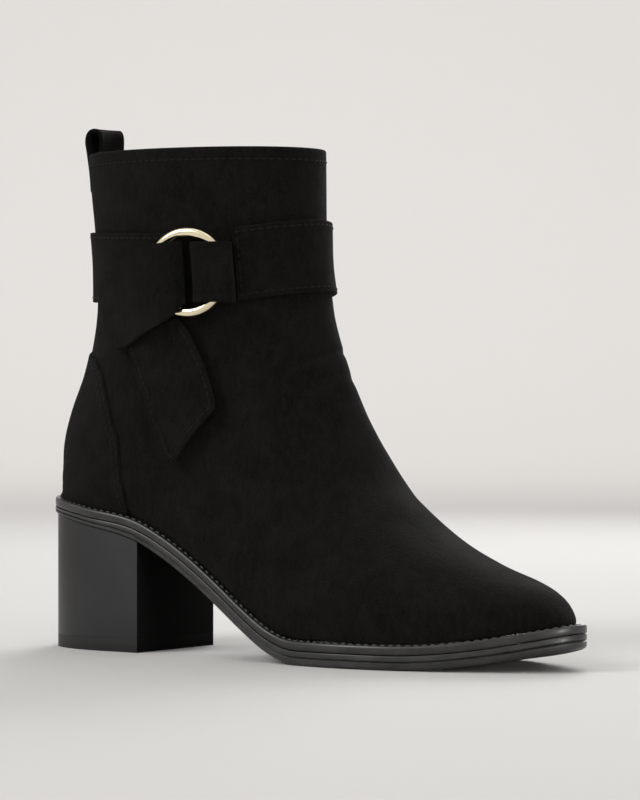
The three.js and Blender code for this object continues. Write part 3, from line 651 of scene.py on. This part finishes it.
def grid_normals(grid):
    """Directions out of a grid that lies round the leg."""
    normal = np.cross(np.gradient(grid, axis=0), np.gradient(grid, axis=1))
    normal /= np.linalg.norm(normal, axis=-1, keepdims=True)
    from_middle = (grid - (shaft_middle, 0, 0)) * (1, 1, 0)
    return normal if np.sum(normal * from_middle) > 0 else -normal


def add_leather(name, grid, thickness, bevel=0.45, made=suede):
    """A length of suede or cloth whose middle is a grid, with rounded edges."""
    normal = grid_normals(grid)
    rows, columns = grid.shape[:2]
    count = rows * columns
    points = np.concatenate([grid + normal * thickness / 2, grid - normal * thickness / 2]).reshape(-1, 3)
    faces = [*grid_faces(rows, columns), *grid_faces(rows, columns, start=count)[:, ::-1]]
    number = np.arange(count).reshape(rows, columns)
    border = np.concatenate([number[0, :-1], number[:-1, -1], number[-1, :0:-1], number[:0:-1, 0]])
    for first, second in zip(border, np.roll(border, -1)):
        faces.append((first, first + count, second + count, second))
    return add_piece(name, points, faces, [made], bevel=bevel, sharp=60)


def strap_band(start, end, count, thickness):
    around = np.linspace(start, end, count)
    across = np.linspace(-0.5, 0.5, 25)
    height = strap_middle(around)[None, :] + across[:, None] * strap_width
    return leg_point(around[None, :], height, strap_gap + thickness / 2)


def strap_seam(start, end, across, thickness):
    around = np.linspace(start, end, 160)
    height = strap_middle(around) + across * strap_width
    return leg_point(around, height, strap_gap + thickness + 0.06), leg_normal(around, height)


front_inner_end = zip_around - strap_zip_gap
band = strap_band(front_strap_end, front_inner_end, 150, front_strap_thickness)
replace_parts(add_leather("front_strap_suede", band, front_strap_thickness), "front_strap")
seam_inset = 2.0
edge_share = 0.5 - seam_inset / strap_width
seam_start = front_strap_end + 0.013
seam_end = front_inner_end - 0.005
end_height = strap_middle(seam_start) + np.linspace(-edge_share, edge_share, 30) * strap_width
end_seam = leg_point(seam_start, end_height, strap_gap + front_strap_thickness + 0.06)
seam_shares = (edge_share, -edge_share)
seams = [strap_seam(seam_start, seam_end, share, front_strap_thickness) for share in seam_shares]
add_stitches("front_strap_stitches", [*seams, (end_seam, leg_normal(seam_start, end_height))])

back_inner_start = zip_around + strap_zip_gap
band = strap_band(back_inner_start, 2 + back_strap_end, 200, strap_thickness)
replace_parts(add_leather("back_strap_suede", band, strap_thickness), "back_strap")
seam_start = back_inner_start + 0.01
seam_end = 2 + back_strap_end - 0.03
seams = [strap_seam(seam_start, seam_end, share, strap_thickness) for share in seam_shares]
add_stitches("back_strap_stitches", seams)

# The loop's section: places round the leg and distances out from it
loop_path = [
    (-0.303, 2.1),
    (-0.3025, 4.2),
    (-0.3035, 6.3),
    (-0.31, 7.9),
    (-0.322, 8.6),
    (-0.345, 8.4),
    (-0.375, 7.3),
    (-0.396, 5.3),
    (-0.4, 3.2),
    (-0.393, 1.6),
    (-0.375, 1),
    (-0.34, 1),
    (-0.308, 1),
]
fine = np.linspace(0, len(loop_path) - 1, 70)
loop_around, loop_out = [smooth(range(len(loop_path)), values)(fine) for values in zip(*loop_path)]
across = np.linspace(-0.5, 0.5, 21)
loop_grid = leg_point(loop_around[:, None], ring_height + across[None, :] * loop_width, loop_out[:, None])
front_loop = add_leather("front_loop_suede", loop_grid, loop_thickness, bevel=0.35)
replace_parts(front_loop, "front_strap_loop")

# The fold's and the tail's two edges, each a place round the leg and a height, and their distance out from it
fold_edges = [
    (-0.446, 167.2, -0.446, 141.2, 1.1),
    (-0.437, 166.9, -0.436, 141.2, 1.7),
    (-0.431, 166.7, -0.43, 141.1, 3.4),
    (-0.432, 166.5, -0.43, 141, 5.6),
    (-0.441, 166.3, -0.436, 137.6, 7.7),
    (-0.47, 165.6, -0.455, 134.7, 8.8),
    (-0.51, 164, -0.49, 131.5, 9.1),
    (-0.55, 162.3, -0.52, 128.6, 8.6),
    (-0.6, 158.5, -0.545, 126.2, 7.2),
    (-0.65, 154, -0.575, 124.2, 6.1),
    (-0.685, 149.5, -0.61, 124.8, 5.6),
    (-0.7, 144.5, -0.65, 128.5, 5.2),
]
tail_edges = [
    (-0.578, 126.5, -0.447, 135.7, 4.3),
    (-0.56, 121.9, -0.414, 130.9, 4),
    (-0.535, 117, -0.388, 125, 4),
    (-0.519, 112.5, -0.369, 117.5, 4.2),
    (-0.505, 107.5, -0.37, 110.5, 4.6),
    (-0.5, 103.5, -0.386, 104.8, 4.8),
    (-0.503, 99.5, -0.41, 100, 5),
    (-0.511, 95.5, -0.446, 95.6, 5),
    (-0.53, 91, -0.488, 90.8, 5),
    (-0.556, 86.5, -0.533, 85.8, 5),
    (-0.588, 81.5, -0.577, 81.2, 5),
    (-0.61, 78, -0.604, 78.2, 4.8),
]


def leather_grid(edges, steps):
    """Points between the two edges of a length of suede."""
    at = np.linspace(0, len(edges) - 1, steps)
    curves = [smooth(range(len(edges)), values)(at)[:, None] for values in zip(*edges)]
    around_a, height_a, around_b, height_b, out = curves
    share = np.linspace(0, 1, 25)[None, :]
    return leg_point(lerp(around_a, around_b, share), lerp(height_a, height_b, share), out)


fold = add_leather("fold_suede", leather_grid(fold_edges, 80), tail_thickness)
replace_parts(fold, "strap_fold")
tail_grid = leather_grid(tail_edges, 60)
tail = add_leather("tail_suede", tail_grid, tail_thickness)
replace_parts(tail, "strap_tail")


def inset_line(grid, line, inset, lift):
    """A line along a grid's edge, moved in over its surface and out from it."""
    nearest = np.argmin(np.linalg.norm(grid.reshape(-1, 3)[None] - line[:, None], axis=2), axis=1)
    out = grid_normals(grid).reshape(-1, 3)[nearest]
    along = np.gradient(line, axis=0)
    along /= np.linalg.norm(along, axis=1, keepdims=True)
    inward = np.cross(out, along)
    middle = grid.reshape(-1, 3).mean(axis=0)
    if np.sum(inward * (middle - line)) < 0:
        inward = -inward
    return line + inward * inset + out * lift, out


tail_inset = 1.9
tail_face = tail_thickness / 2 + 0.05
seams = [inset_line(tail_grid, tail_grid[4:-3, column], tail_inset, tail_face) for column in (0, -1)]
add_stitches("tail_stitches", seams)


# Ring
# A polished ring of pale gold plated brass wire, the strap's only hard piece.
ring_radius = 16
ring_wire = 4
ring_facing = -0.4
ring_out = 4
gold, shader, place = material("gold", {"Metallic": 1.0, "Specular IOR Level": 0.5})
haze = place.noise(0.004, 2)
haze.put(shader.inputs["Base Color"], haze.mix((0.92, 0.78, 0.52, 1), (0.96, 0.86, 0.64, 1)))
haze.put(shader.inputs["Roughness"], 0.12 + haze * 0.1)
ring_centre = leg_point(ring_around, ring_height, ring_out)
ring_axis = last_normal(leg_row(np.array(ring_facing), ring_height), ring_facing)
ring_side = np.cross((0, 0, 1), ring_axis)
ring_side /= np.linalg.norm(ring_side)
ring_up = np.cross(ring_axis, ring_side)
turn = np.linspace(0, 2 * math.pi, 97)[:, None, None]
bend = np.linspace(0, 2 * math.pi, 25)[None, :, None]
spoke = np.cos(turn) * ring_side + np.sin(turn) * ring_up
across_wire = spoke * (ring_radius + ring_wire / 2 * np.cos(bend))
ring_points = ring_centre + across_wire + ring_axis * ring_wire / 2 * np.sin(bend)
ring = add_piece("ring_gold", ring_points, grid_faces(97, 25), [gold])
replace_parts(ring, "ring")


# Pull loop
# A narrow band of suede sewn inside and outside the collar at the back, standing up as a loop that pulls the
# boot on.
pull_loop_width = 18
pull_loop_thickness = 1.5
pull_loop_path = [
    (-15, gap + 0.75),
    (-7, gap + 0.85),
    (0.5, 1.7),
    (6, 2.5),
    (9.3, 1.8),
    (10.7, 0),
    (10.4, -2.2),
    (8, -3.7),
    (2, -3.6),
    (-6, -wall - curved_gap - 0.85),
    (-15, -wall - curved_gap - 0.75),
]
fine = np.linspace(0, len(pull_loop_path) - 1, 90)
loop_height, loop_out = [smooth(range(len(pull_loop_path)), values)(fine) for values in zip(*pull_loop_path)]
back_per_share = np.linalg.norm(leg_point(0.99, boot_height) - leg_point(1, boot_height)) / 0.01
across = np.linspace(-0.5, 0.5, 17) * pull_loop_width / back_per_share
pull_grid = leg_point(1 + across[None, :], boot_height + loop_height[:, None], loop_out[:, None])
pull_loop = add_leather("pull_loop_suede", pull_grid, pull_loop_thickness, bevel=0.4)
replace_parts(pull_loop, "pull_loop")
seam_half = pull_loop_width / 2 - 1.7
seam_foot = -13.2
seam_top = -0.5
down = np.linspace(seam_top, seam_foot, 20)
still = np.ones(20)
seam_across = np.concatenate([-seam_half * still, np.linspace(-seam_half, seam_half, 20), seam_half * still])
seam_drop = np.concatenate([down, seam_foot * still, down[::-1]])
crest = int(np.argmax(loop_height))
seam_lift = np.interp(seam_drop, loop_height[:crest], loop_out[:crest]) + pull_loop_thickness / 2 + 0.04
seam_around = 1 + seam_across / back_per_share
seam_height = boot_height + seam_drop
seam_line = leg_point(seam_around, seam_height, seam_lift)
add_stitches("pull_loop_stitches", [(seam_line, leg_normal(seam_around, seam_height))])


# Sole
# An outsole with a grooved edge under a welt whose top is stitched all round. Both edges are stained charcoal
# and burnished, so they catch the light along the toe. The tread has plain ribs.
edge_groove = 0.55
edge_finish, shader, place = material(
    "edge_finish", {"Specular IOR Level": 0.45, "Coat Weight": 0.2, "Coat Roughness": 0.22}
)
rubbed = place.noise(0.01, 3, 0.6, (1, 1, 3)).between(0.3, 0.75)
grain = place.noise(0.0007, 3, 0.65)
rubbed.put(shader.inputs["Base Color"], rubbed.mix((0.0065, 0.0062, 0.0058, 1), (0.021, 0.0205, 0.020, 1)))
rubbed.put(shader.inputs["Roughness"], 0.34 + rubbed * 0.1 + grain * 0.08)
rubbed.put(shader.inputs["Normal"], grain.bump(0.00006, 0.5))


def outline(out, steps=150, front_end=None):
    """Closed line in plan, moved out from the feather line, from the toe round the outer side to the back."""
    reach = math.pi if front_end is None else float(end_angle((front_end - welt_ledge) / last_length))
    angle = np.linspace(reach, 0, steps)

    def point(at, side):
        at = np.where(at < 0, -at, at)
        along = (1 - np.cos(at)) / 2
        across = ball_width * (feather_middle(at) + side * feather_half(at))
        return np.stack([welt_ledge + last_length * along, across], axis=-1)

    sides = []
    for side in (-1, 1):
        step = 0.01
        before = np.where((angle > step)[:, None], point(angle - step, side), point(step - angle, -side))
        beyond = 2 * math.pi - angle - step
        after = np.where((angle + step < math.pi)[:, None], point(angle + step, side), point(beyond, -side))
        tangent = after - before
        tangent /= np.linalg.norm(tangent, axis=1, keepdims=True)
        normal = np.stack([-tangent[:, 1], tangent[:, 0]], axis=1)
        sides.append(point(angle, side) + normal * out * side)
    loop = np.concatenate([sides[0], sides[1][-2::-1]])
    if front_end is None:
        return np.concatenate([loop[:-1], loop[:1]])[:-1]
    loop[[0, -1], 0] = front_end
    return loop


def raise_loop(loop, height):
    return np.concatenate([loop, np.broadcast_to(height, len(loop))[:, None]], axis=1)


def loop_faces(count, size, cap_bottom=True, cap_top=True):
    """Faces of loops stacked from the bottom to the top, with caps that join the two sides of the foot."""
    faces = []
    for i in range(count - 1):
        for j in range(size):
            k = (j + 1) % size
            faces.append((i * size + j, i * size + k, (i + 1) * size + k, (i + 1) * size + j))
    for wanted, start in ((cap_bottom, 0), (cap_top, (count - 1) * size)):
        if not wanted:
            continue
        for j in range(size // 2 + 1):
            corners = [start + j, start + j + 1, start + (size - 2 - j) % size, start + (size - 1 - j) % size]
            if len(set(corners)) > 2 and j + 1 <= size - 2 - j:
                faces.append(list(dict.fromkeys(corners)))
    return faces


outsole_profile = [
    (0, 1.6),
    (0.04, 1.0),
    (0.1, 0.4),
    (0.2, 0),
    (0.44, 0),
    (0.5, 0.6 * edge_groove),
    (0.54, edge_groove),
    (0.58, 0.6 * edge_groove),
    (0.64, 0),
    (0.9, 0),
    (0.97, 0.15),
    (1, 0.4),
]
loops = []
for share, inset in outsole_profile:
    loop = outline(welt_ledge - inset)
    loops.append(raise_loop(loop, underside(loop[:, 0]) + share * outsole_thickness(loop[:, 0])))
faces = loop_faces(len(loops), len(loops[0]))
outsole = add_piece("outsole_edge", loops, faces, [edge_finish], sharp=35)
tread_rubber, shader, place = material("tread_rubber", {"Specular IOR Level": 0.4})
ribs = place.node("ShaderNodeTexWave", {"bands_direction": "X"}, {"Vector": place, "Scale": 62.0})
scuff = place.noise(0.006, 3, 0.6)
scuff.put(shader.inputs["Base Color"], scuff.mix((0.006, 0.0058, 0.0055, 1), (0.018, 0.0175, 0.017, 1)))
scuff.put(shader.inputs["Roughness"], 0.55 + scuff * 0.25)
scuff.put(shader.inputs["Normal"], ribs.between(0.35, 0.65).bump(0.0006, 0.7))
outsole.data.materials.append(tread_rubber)
for face in outsole.data.polygons:
    face.material_index = int(face.normal.z < -0.6 and len(face.vertices) == 4 and face.area > 4e-6)
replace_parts(outsole, "outsole")

welt_profile = [
    (0, welt_ledge - 0.35),
    (0.12, welt_ledge - 0.08),
    (0.25, welt_ledge),
    (0.75, welt_ledge),
    (0.9, welt_ledge - 0.15),
    (1, welt_ledge - 0.5),
    (1, welt_ledge - 1.1),
    (1, -wall),
    (0, -wall),
]
loops = []
for share, out in welt_profile:
    loop = outline(out)
    loops.append(raise_loop(loop, welt_bottom(loop[:, 0]) + share * welt_thickness))
loops.append(loops[0])
faces = loop_faces(len(loops), len(loops[0]), cap_bottom=False, cap_top=False)
welt = add_piece("welt_edge", loops, faces, [edge_finish], sharp=35)
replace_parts(welt, "welt")
loop = outline(2.1, 400)
stitch_line = raise_loop(loop, welt_bottom(loop[:, 0]) + welt_thickness + 0.08)
up = np.broadcast_to((0.0, 0.0, 1.0), stitch_line.shape)
welt_thread, shader, place = material("welt_thread", {"Specular IOR Level": 0.5})
twist = place.noise(0.0004, 2)
twist.put(shader.inputs["Base Color"], twist.mix((0.014, 0.0135, 0.013, 1), (0.040, 0.039, 0.037, 1)))
twist.put(shader.inputs["Roughness"], 0.4 + twist * 0.2)
thick = {"pitch": 3.4, "length": 2.5, "radius": 0.42}
add_stitches("welt_stitches", [(stitch_line, up)], made=welt_thread, slot="sole_edge", **thick)


# Heel
# A straight block heel, 57 mm from back to breast, covered in smooth dark leather, with a rubber wearing
# piece under it.
heel_inset = 1
lift_thickness = 5.3
heel_cover, shader, place = material(
    "heel_cover", {"Specular IOR Level": 0.38, "Coat Weight": 0.08, "Coat Roughness": 0.25}
)
# The cover's colour is mottled at random, and painted lighter and bluer from the back towards the breast
# corner: a painted highlight where light falls along the heel's side.
mottle_and_painted_highlight = place.noise(0.03, 2).between(0.3, 0.7) * 0.35 + place.part(0).between(-0.024, 0.03) * 0.65
streaks = place.noise(0.0025, 3, 0.6, (1, 1, 0.12))
mottle_and_painted_highlight.put(shader.inputs["Base Color"], mottle_and_painted_highlight.mix((0.0020, 0.0017, 0.0014, 1), (0.0150, 0.0158, 0.0180, 1)))
mottle_and_painted_highlight.put(shader.inputs["Roughness"], 0.36 + streaks * 0.14)
mottle_and_painted_highlight.put(shader.inputs["Normal"], streaks.bump(0.0001, 0.5))
lift_rubber, shader, place = material("lift_rubber", {"Specular IOR Level": 0.35})
dust = place.noise(0.0012, 3)
dust.put(shader.inputs["Base Color"], dust.mix((0.0035, 0.0033, 0.0031, 1), (0.0105, 0.0104, 0.0106, 1)))
dust.put(shader.inputs["Roughness"], 0.42 + dust * 0.15)
dust.put(shader.inputs["Normal"], dust.bump(0.0001, 0.5))


loop = outline(welt_ledge - heel_inset, 60, heel_length)
block = [raise_loop(loop, lift_thickness + 0.05), raise_loop(loop, underside(loop[:, 0]) - 0.05)]
heel = add_piece("heel_block", block, loop_faces(2, len(loop)), [heel_cover], bevel=0.3)
# The breast is painted near black: painted shade standing in for the shadow under the arch, on a matt finish.
heel_breast_painted_shade, shader, place = material("heel_breast_painted_shade", {"Specular IOR Level": 0.1})
matt_and_painted_shade = place.noise(0.0008, 3)
matt_and_painted_shade.put(shader.inputs["Base Color"], matt_and_painted_shade.mix((0.0010, 0.0010, 0.0009, 1), (0.0028, 0.0027, 0.0026, 1)))
matt_and_painted_shade.put(shader.inputs["Roughness"], 0.85 + matt_and_painted_shade * 0.1)
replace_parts(heel, "heel")
block = [raise_loop(loop, 0), raise_loop(loop, lift_thickness)]
lift = add_piece("top_lift_rubber", block, loop_faces(2, len(loop)), [lift_rubber], bevel=0.2)
# The faces of heel and lift that face the toe take the near-black breast colour, which is painted shade.
for block in (heel, lift):
    block.data.materials.append(heel_breast_painted_shade)
    for face in block.data.polygons:
        face.material_index = int(face.normal.x > 0.95)
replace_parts(lift, "top_lift")


# Insole
# A leather sock over a thin foam, which hollows slightly under the foot.
insole_thickness = 2.2
insole_gap = 0.9
sock_rows = []
for inset, drop in ((0, 1.6), (0.3, 0.5), (1, 0), (4, 0.1), (9, 0.3)):
    loop = outline(-wall - insole_gap - inset)
    sock_rows.append(raise_loop(loop, feather_height(loop[:, 0]) + insole_thickness - drop))
faces = loop_faces(len(sock_rows), len(sock_rows[0]))
insole = add_piece("sock", sock_rows, faces, [lining_leather], sharp=60)
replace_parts(insole, "insole")


# Zip
# A metal zip up the inner side: woven tape behind the slit, two rows of teeth, and a slider with a slotted
# tab.
tape_width = 17
tape_thickness = 0.8
tape_below_collar = 1
coil_below_collar = 1.5
tape_cloth, shader, place = material("tape_cloth", {"Specular IOR Level": 0.2})
weave = place.node("ShaderNodeTexWave", {"bands_direction": "Z"}, {"Vector": place, "Scale": 420.0})
weave.put(shader.inputs["Base Color"], weave.mix((0.005, 0.005, 0.005, 1), (0.015, 0.015, 0.015, 1)))
weave.put(shader.inputs["Roughness"], 0.75 + weave * 0.15)
weave.put(shader.inputs["Normal"], weave.bump(0.00015, 0.6))
gunmetal, shader, place = material("gunmetal", {"Metallic": 1.0})
rub = place.noise(0.002, 2)
rub.put(shader.inputs["Base Color"], rub.mix((0.16, 0.16, 0.165, 1), (0.30, 0.30, 0.31, 1)))
rub.put(shader.inputs["Roughness"], 0.24 + rub * 0.12)


def zip_grid(across, depth, foot, below_collar, steps=120):
    """Points along the zip at distances across it, in millimetres, and at a depth in the upper."""
    row = np.linspace(foot, collar_row, steps)
    here = last_point(row, zip_around)
    per_share = np.linalg.norm(last_point(row, zip_around + zip_step) - here, axis=-1) / zip_step
    around = zip_around + np.asarray(across)[None, :] / per_share[:, None]
    normal = last_normal(row[:, None], around)
    points = last_point(row[:, None], around) - normal * depth
    points[-1, :, 2] = boot_height - below_collar
    return points, normal


tape_across = np.linspace(-tape_width / 2, tape_width / 2, 13)
tape_depth = wall + curved_gap + tape_thickness / 2
tape_grid = zip_grid(tape_across, tape_depth, zip_foot - 0.3, tape_below_collar)[0]
tape = add_leather("zip_tape_cloth", tape_grid, tape_thickness, bevel=0, made=tape_cloth)
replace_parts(tape, "zip_tape")

line, line_out = zip_grid(np.array([0.0]), 1.0, zip_foot + 0.2, coil_below_collar, 400)
line = line[:, 0]
middle = even_path(line, 1.15)
nearest = np.argmin(np.linalg.norm(middle[:, None] - line[None], axis=2), axis=1)
out = line_out[nearest, 0]
along = np.gradient(middle, axis=0)
along /= np.linalg.norm(along, axis=1, keepdims=True)
side = np.cross(along, out)
side /= np.linalg.norm(side, axis=1, keepdims=True)
out = np.cross(side, along)
points = []
faces = []
tooth = [
    (x, y, z)
    for z in (-0.38, 0.38)
    for x, y in ((-2.35, -0.75), (-0.5, -0.75), (0.55, -0.45), (0.55, 0.45), (-0.5, 0.75), (-2.35, 0.75))
]
for index, (centre, a, s, o) in enumerate(zip(middle, along, side, out)):
    hand = 1 if index % 2 else -1
    start = len(points)
    for x, y, z in tooth:
        points.append(centre + s * x * hand + o * y + a * z)
    for j in range(6):
        k = (j + 1) % 6
        faces.append((start + j, start + k, start + 6 + k, start + 6 + j))
    faces.append([start + j for j in range(5, -1, -1)])
    faces.append([start + 6 + j for j in range(6)])
teeth = add_piece("zip_teeth", points, faces, [gunmetal], bevel=0.12, sharp=40)
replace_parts(teeth, "zip_coil")


def soften(node, name, body, bevel):
    """A copy of a CAD node with its edges rounded, in millimetres."""
    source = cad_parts[node]
    mesh = source.data.copy()
    mesh.name = name
    mesh.materials.clear()
    mesh.materials.append(gunmetal)
    shape = bmesh.new()
    shape.from_mesh(mesh)
    bmesh.ops.remove_doubles(shape, verts=shape.verts, dist=1e-6)
    bmesh.ops.dissolve_limit(shape, angle_limit=0.02, verts=shape.verts, edges=shape.edges)
    edges = [edge for edge in shape.edges if len(edge.link_faces) == 2 and edge.calc_face_angle() > 0.6]
    size = {"offset": bevel / 1000, "segments": 2, "profile": 0.5}
    bmesh.ops.bevel(shape, geom=edges, affect="EDGES", clamp_overlap=True, **size)
    for face in shape.faces:
        face.smooth = True
    shape.to_mesh(mesh)
    shape.free()
    mesh.set_sharp_from_angle(angle=math.radians(40))
    made = bpy.data.objects.new(name, mesh)
    bpy.context.collection.objects.link(made)
    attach(made, body)
    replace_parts(made, node)
    return made


soften("zip_slider", "slider_metal", "boot", 0.2)
soften("zip_pull", "pull_metal", "zip_pull", 0.2)


# Floor, light and camera
# A pale studio floor that runs up into a pale backdrop, lit by large soft boxes, and seen as in the
# photograph: from the outer side, 35 degrees towards the toe, level and about half way up the boot.
paper, shader, place = material("paper", {"Roughness": 0.9, "Specular IOR Level": 0.2})
rise = place.part(1).between(0.3, 2.6)
rise.put(shader.inputs["Base Color"], rise.mix((0.50, 0.495, 0.48, 1), (0.90, 0.885, 0.87, 1)))
sweep_angle = np.linspace(0, math.pi / 2, 17)
sweep = [(2.4 + 0.8 * math.sin(a), 0.8 - 0.8 * math.cos(a)) for a in sweep_angle]
profile = [(-6.0, 0.0), *sweep, (3.2, 5.0)]
view_turn = math.radians(35)
points = [(x, y, z) for y, z in profile for x in (-8.0, 8.0)]
mesh = bpy.data.meshes.new("floor")
mesh.from_pydata(points, [], [(2 * i, 2 * i + 1, 2 * i + 3, 2 * i + 2) for i in range(len(profile) - 1)])
mesh.materials.append(paper)
for face in mesh.polygons:
    face.use_smooth = True
floor = bpy.data.objects.new("floor", mesh)
floor.rotation_euler.z = view_turn
bpy.context.collection.objects.link(floor)

world = bpy.data.worlds.new("studio")
world.use_nodes = True
world.node_tree.nodes["Background"].inputs["Color"].default_value = (1.0, 0.985, 0.965, 1)
world.node_tree.nodes["Background"].inputs["Strength"].default_value = 0.66
bpy.context.scene.world = world
bpy.context.scene.view_settings.view_transform = "Standard"


def soft_box(name, place, power, size, target=(0.08, 0, 0.08), spread=180):
    lamp = bpy.data.lights.new(name, "AREA")
    lamp.energy = power
    lamp.shape = "SQUARE"
    lamp.size = size
    lamp.spread = math.radians(spread)
    made = bpy.data.objects.new(name, lamp)
    made.location = place
    made.rotation_euler = (Vector(target) - Vector(place)).to_track_quat("-Z", "Y").to_euler()
    bpy.context.collection.objects.link(made)


soft_box("key", (-0.6, -1.2, 1.1), 15, 0.7)
soft_box("fill", (1.4, -0.7, 0.9), 3, 0.9)
soft_box("top", (0.0, 0.3, 1.7), 4, 1.0)
soft_box("inner", (-0.3, 1.3, 0.9), 6, 0.9, spread=100)
soft_box("backdrop", (-0.69, 0.98, 2.4), 5, 1.5, (-1.84, 2.62, 0.6), spread=120)
soft_box("toe", (1.5, -0.35, 0.06), 0.25, 0.25, (0.21, 0, 0.012), spread=30)

camera = bpy.data.cameras.new("camera")
camera.lens = 156
viewpoint = bpy.data.objects.new("camera", camera)
viewpoint.location = (0.9073, -1.1293, 0.115)
right = Vector((math.cos(view_turn), math.sin(view_turn), 0))
forward = Vector((-math.sin(view_turn), math.cos(view_turn), 0))
aim = forward + right * (-13 / 1450) + Vector((0, 0, -12.5 / 1450))
viewpoint.rotation_euler = aim.to_track_quat("-Z", "Y").to_euler()
bpy.context.collection.objects.link(viewpoint)
bpy.context.scene.camera = viewpoint
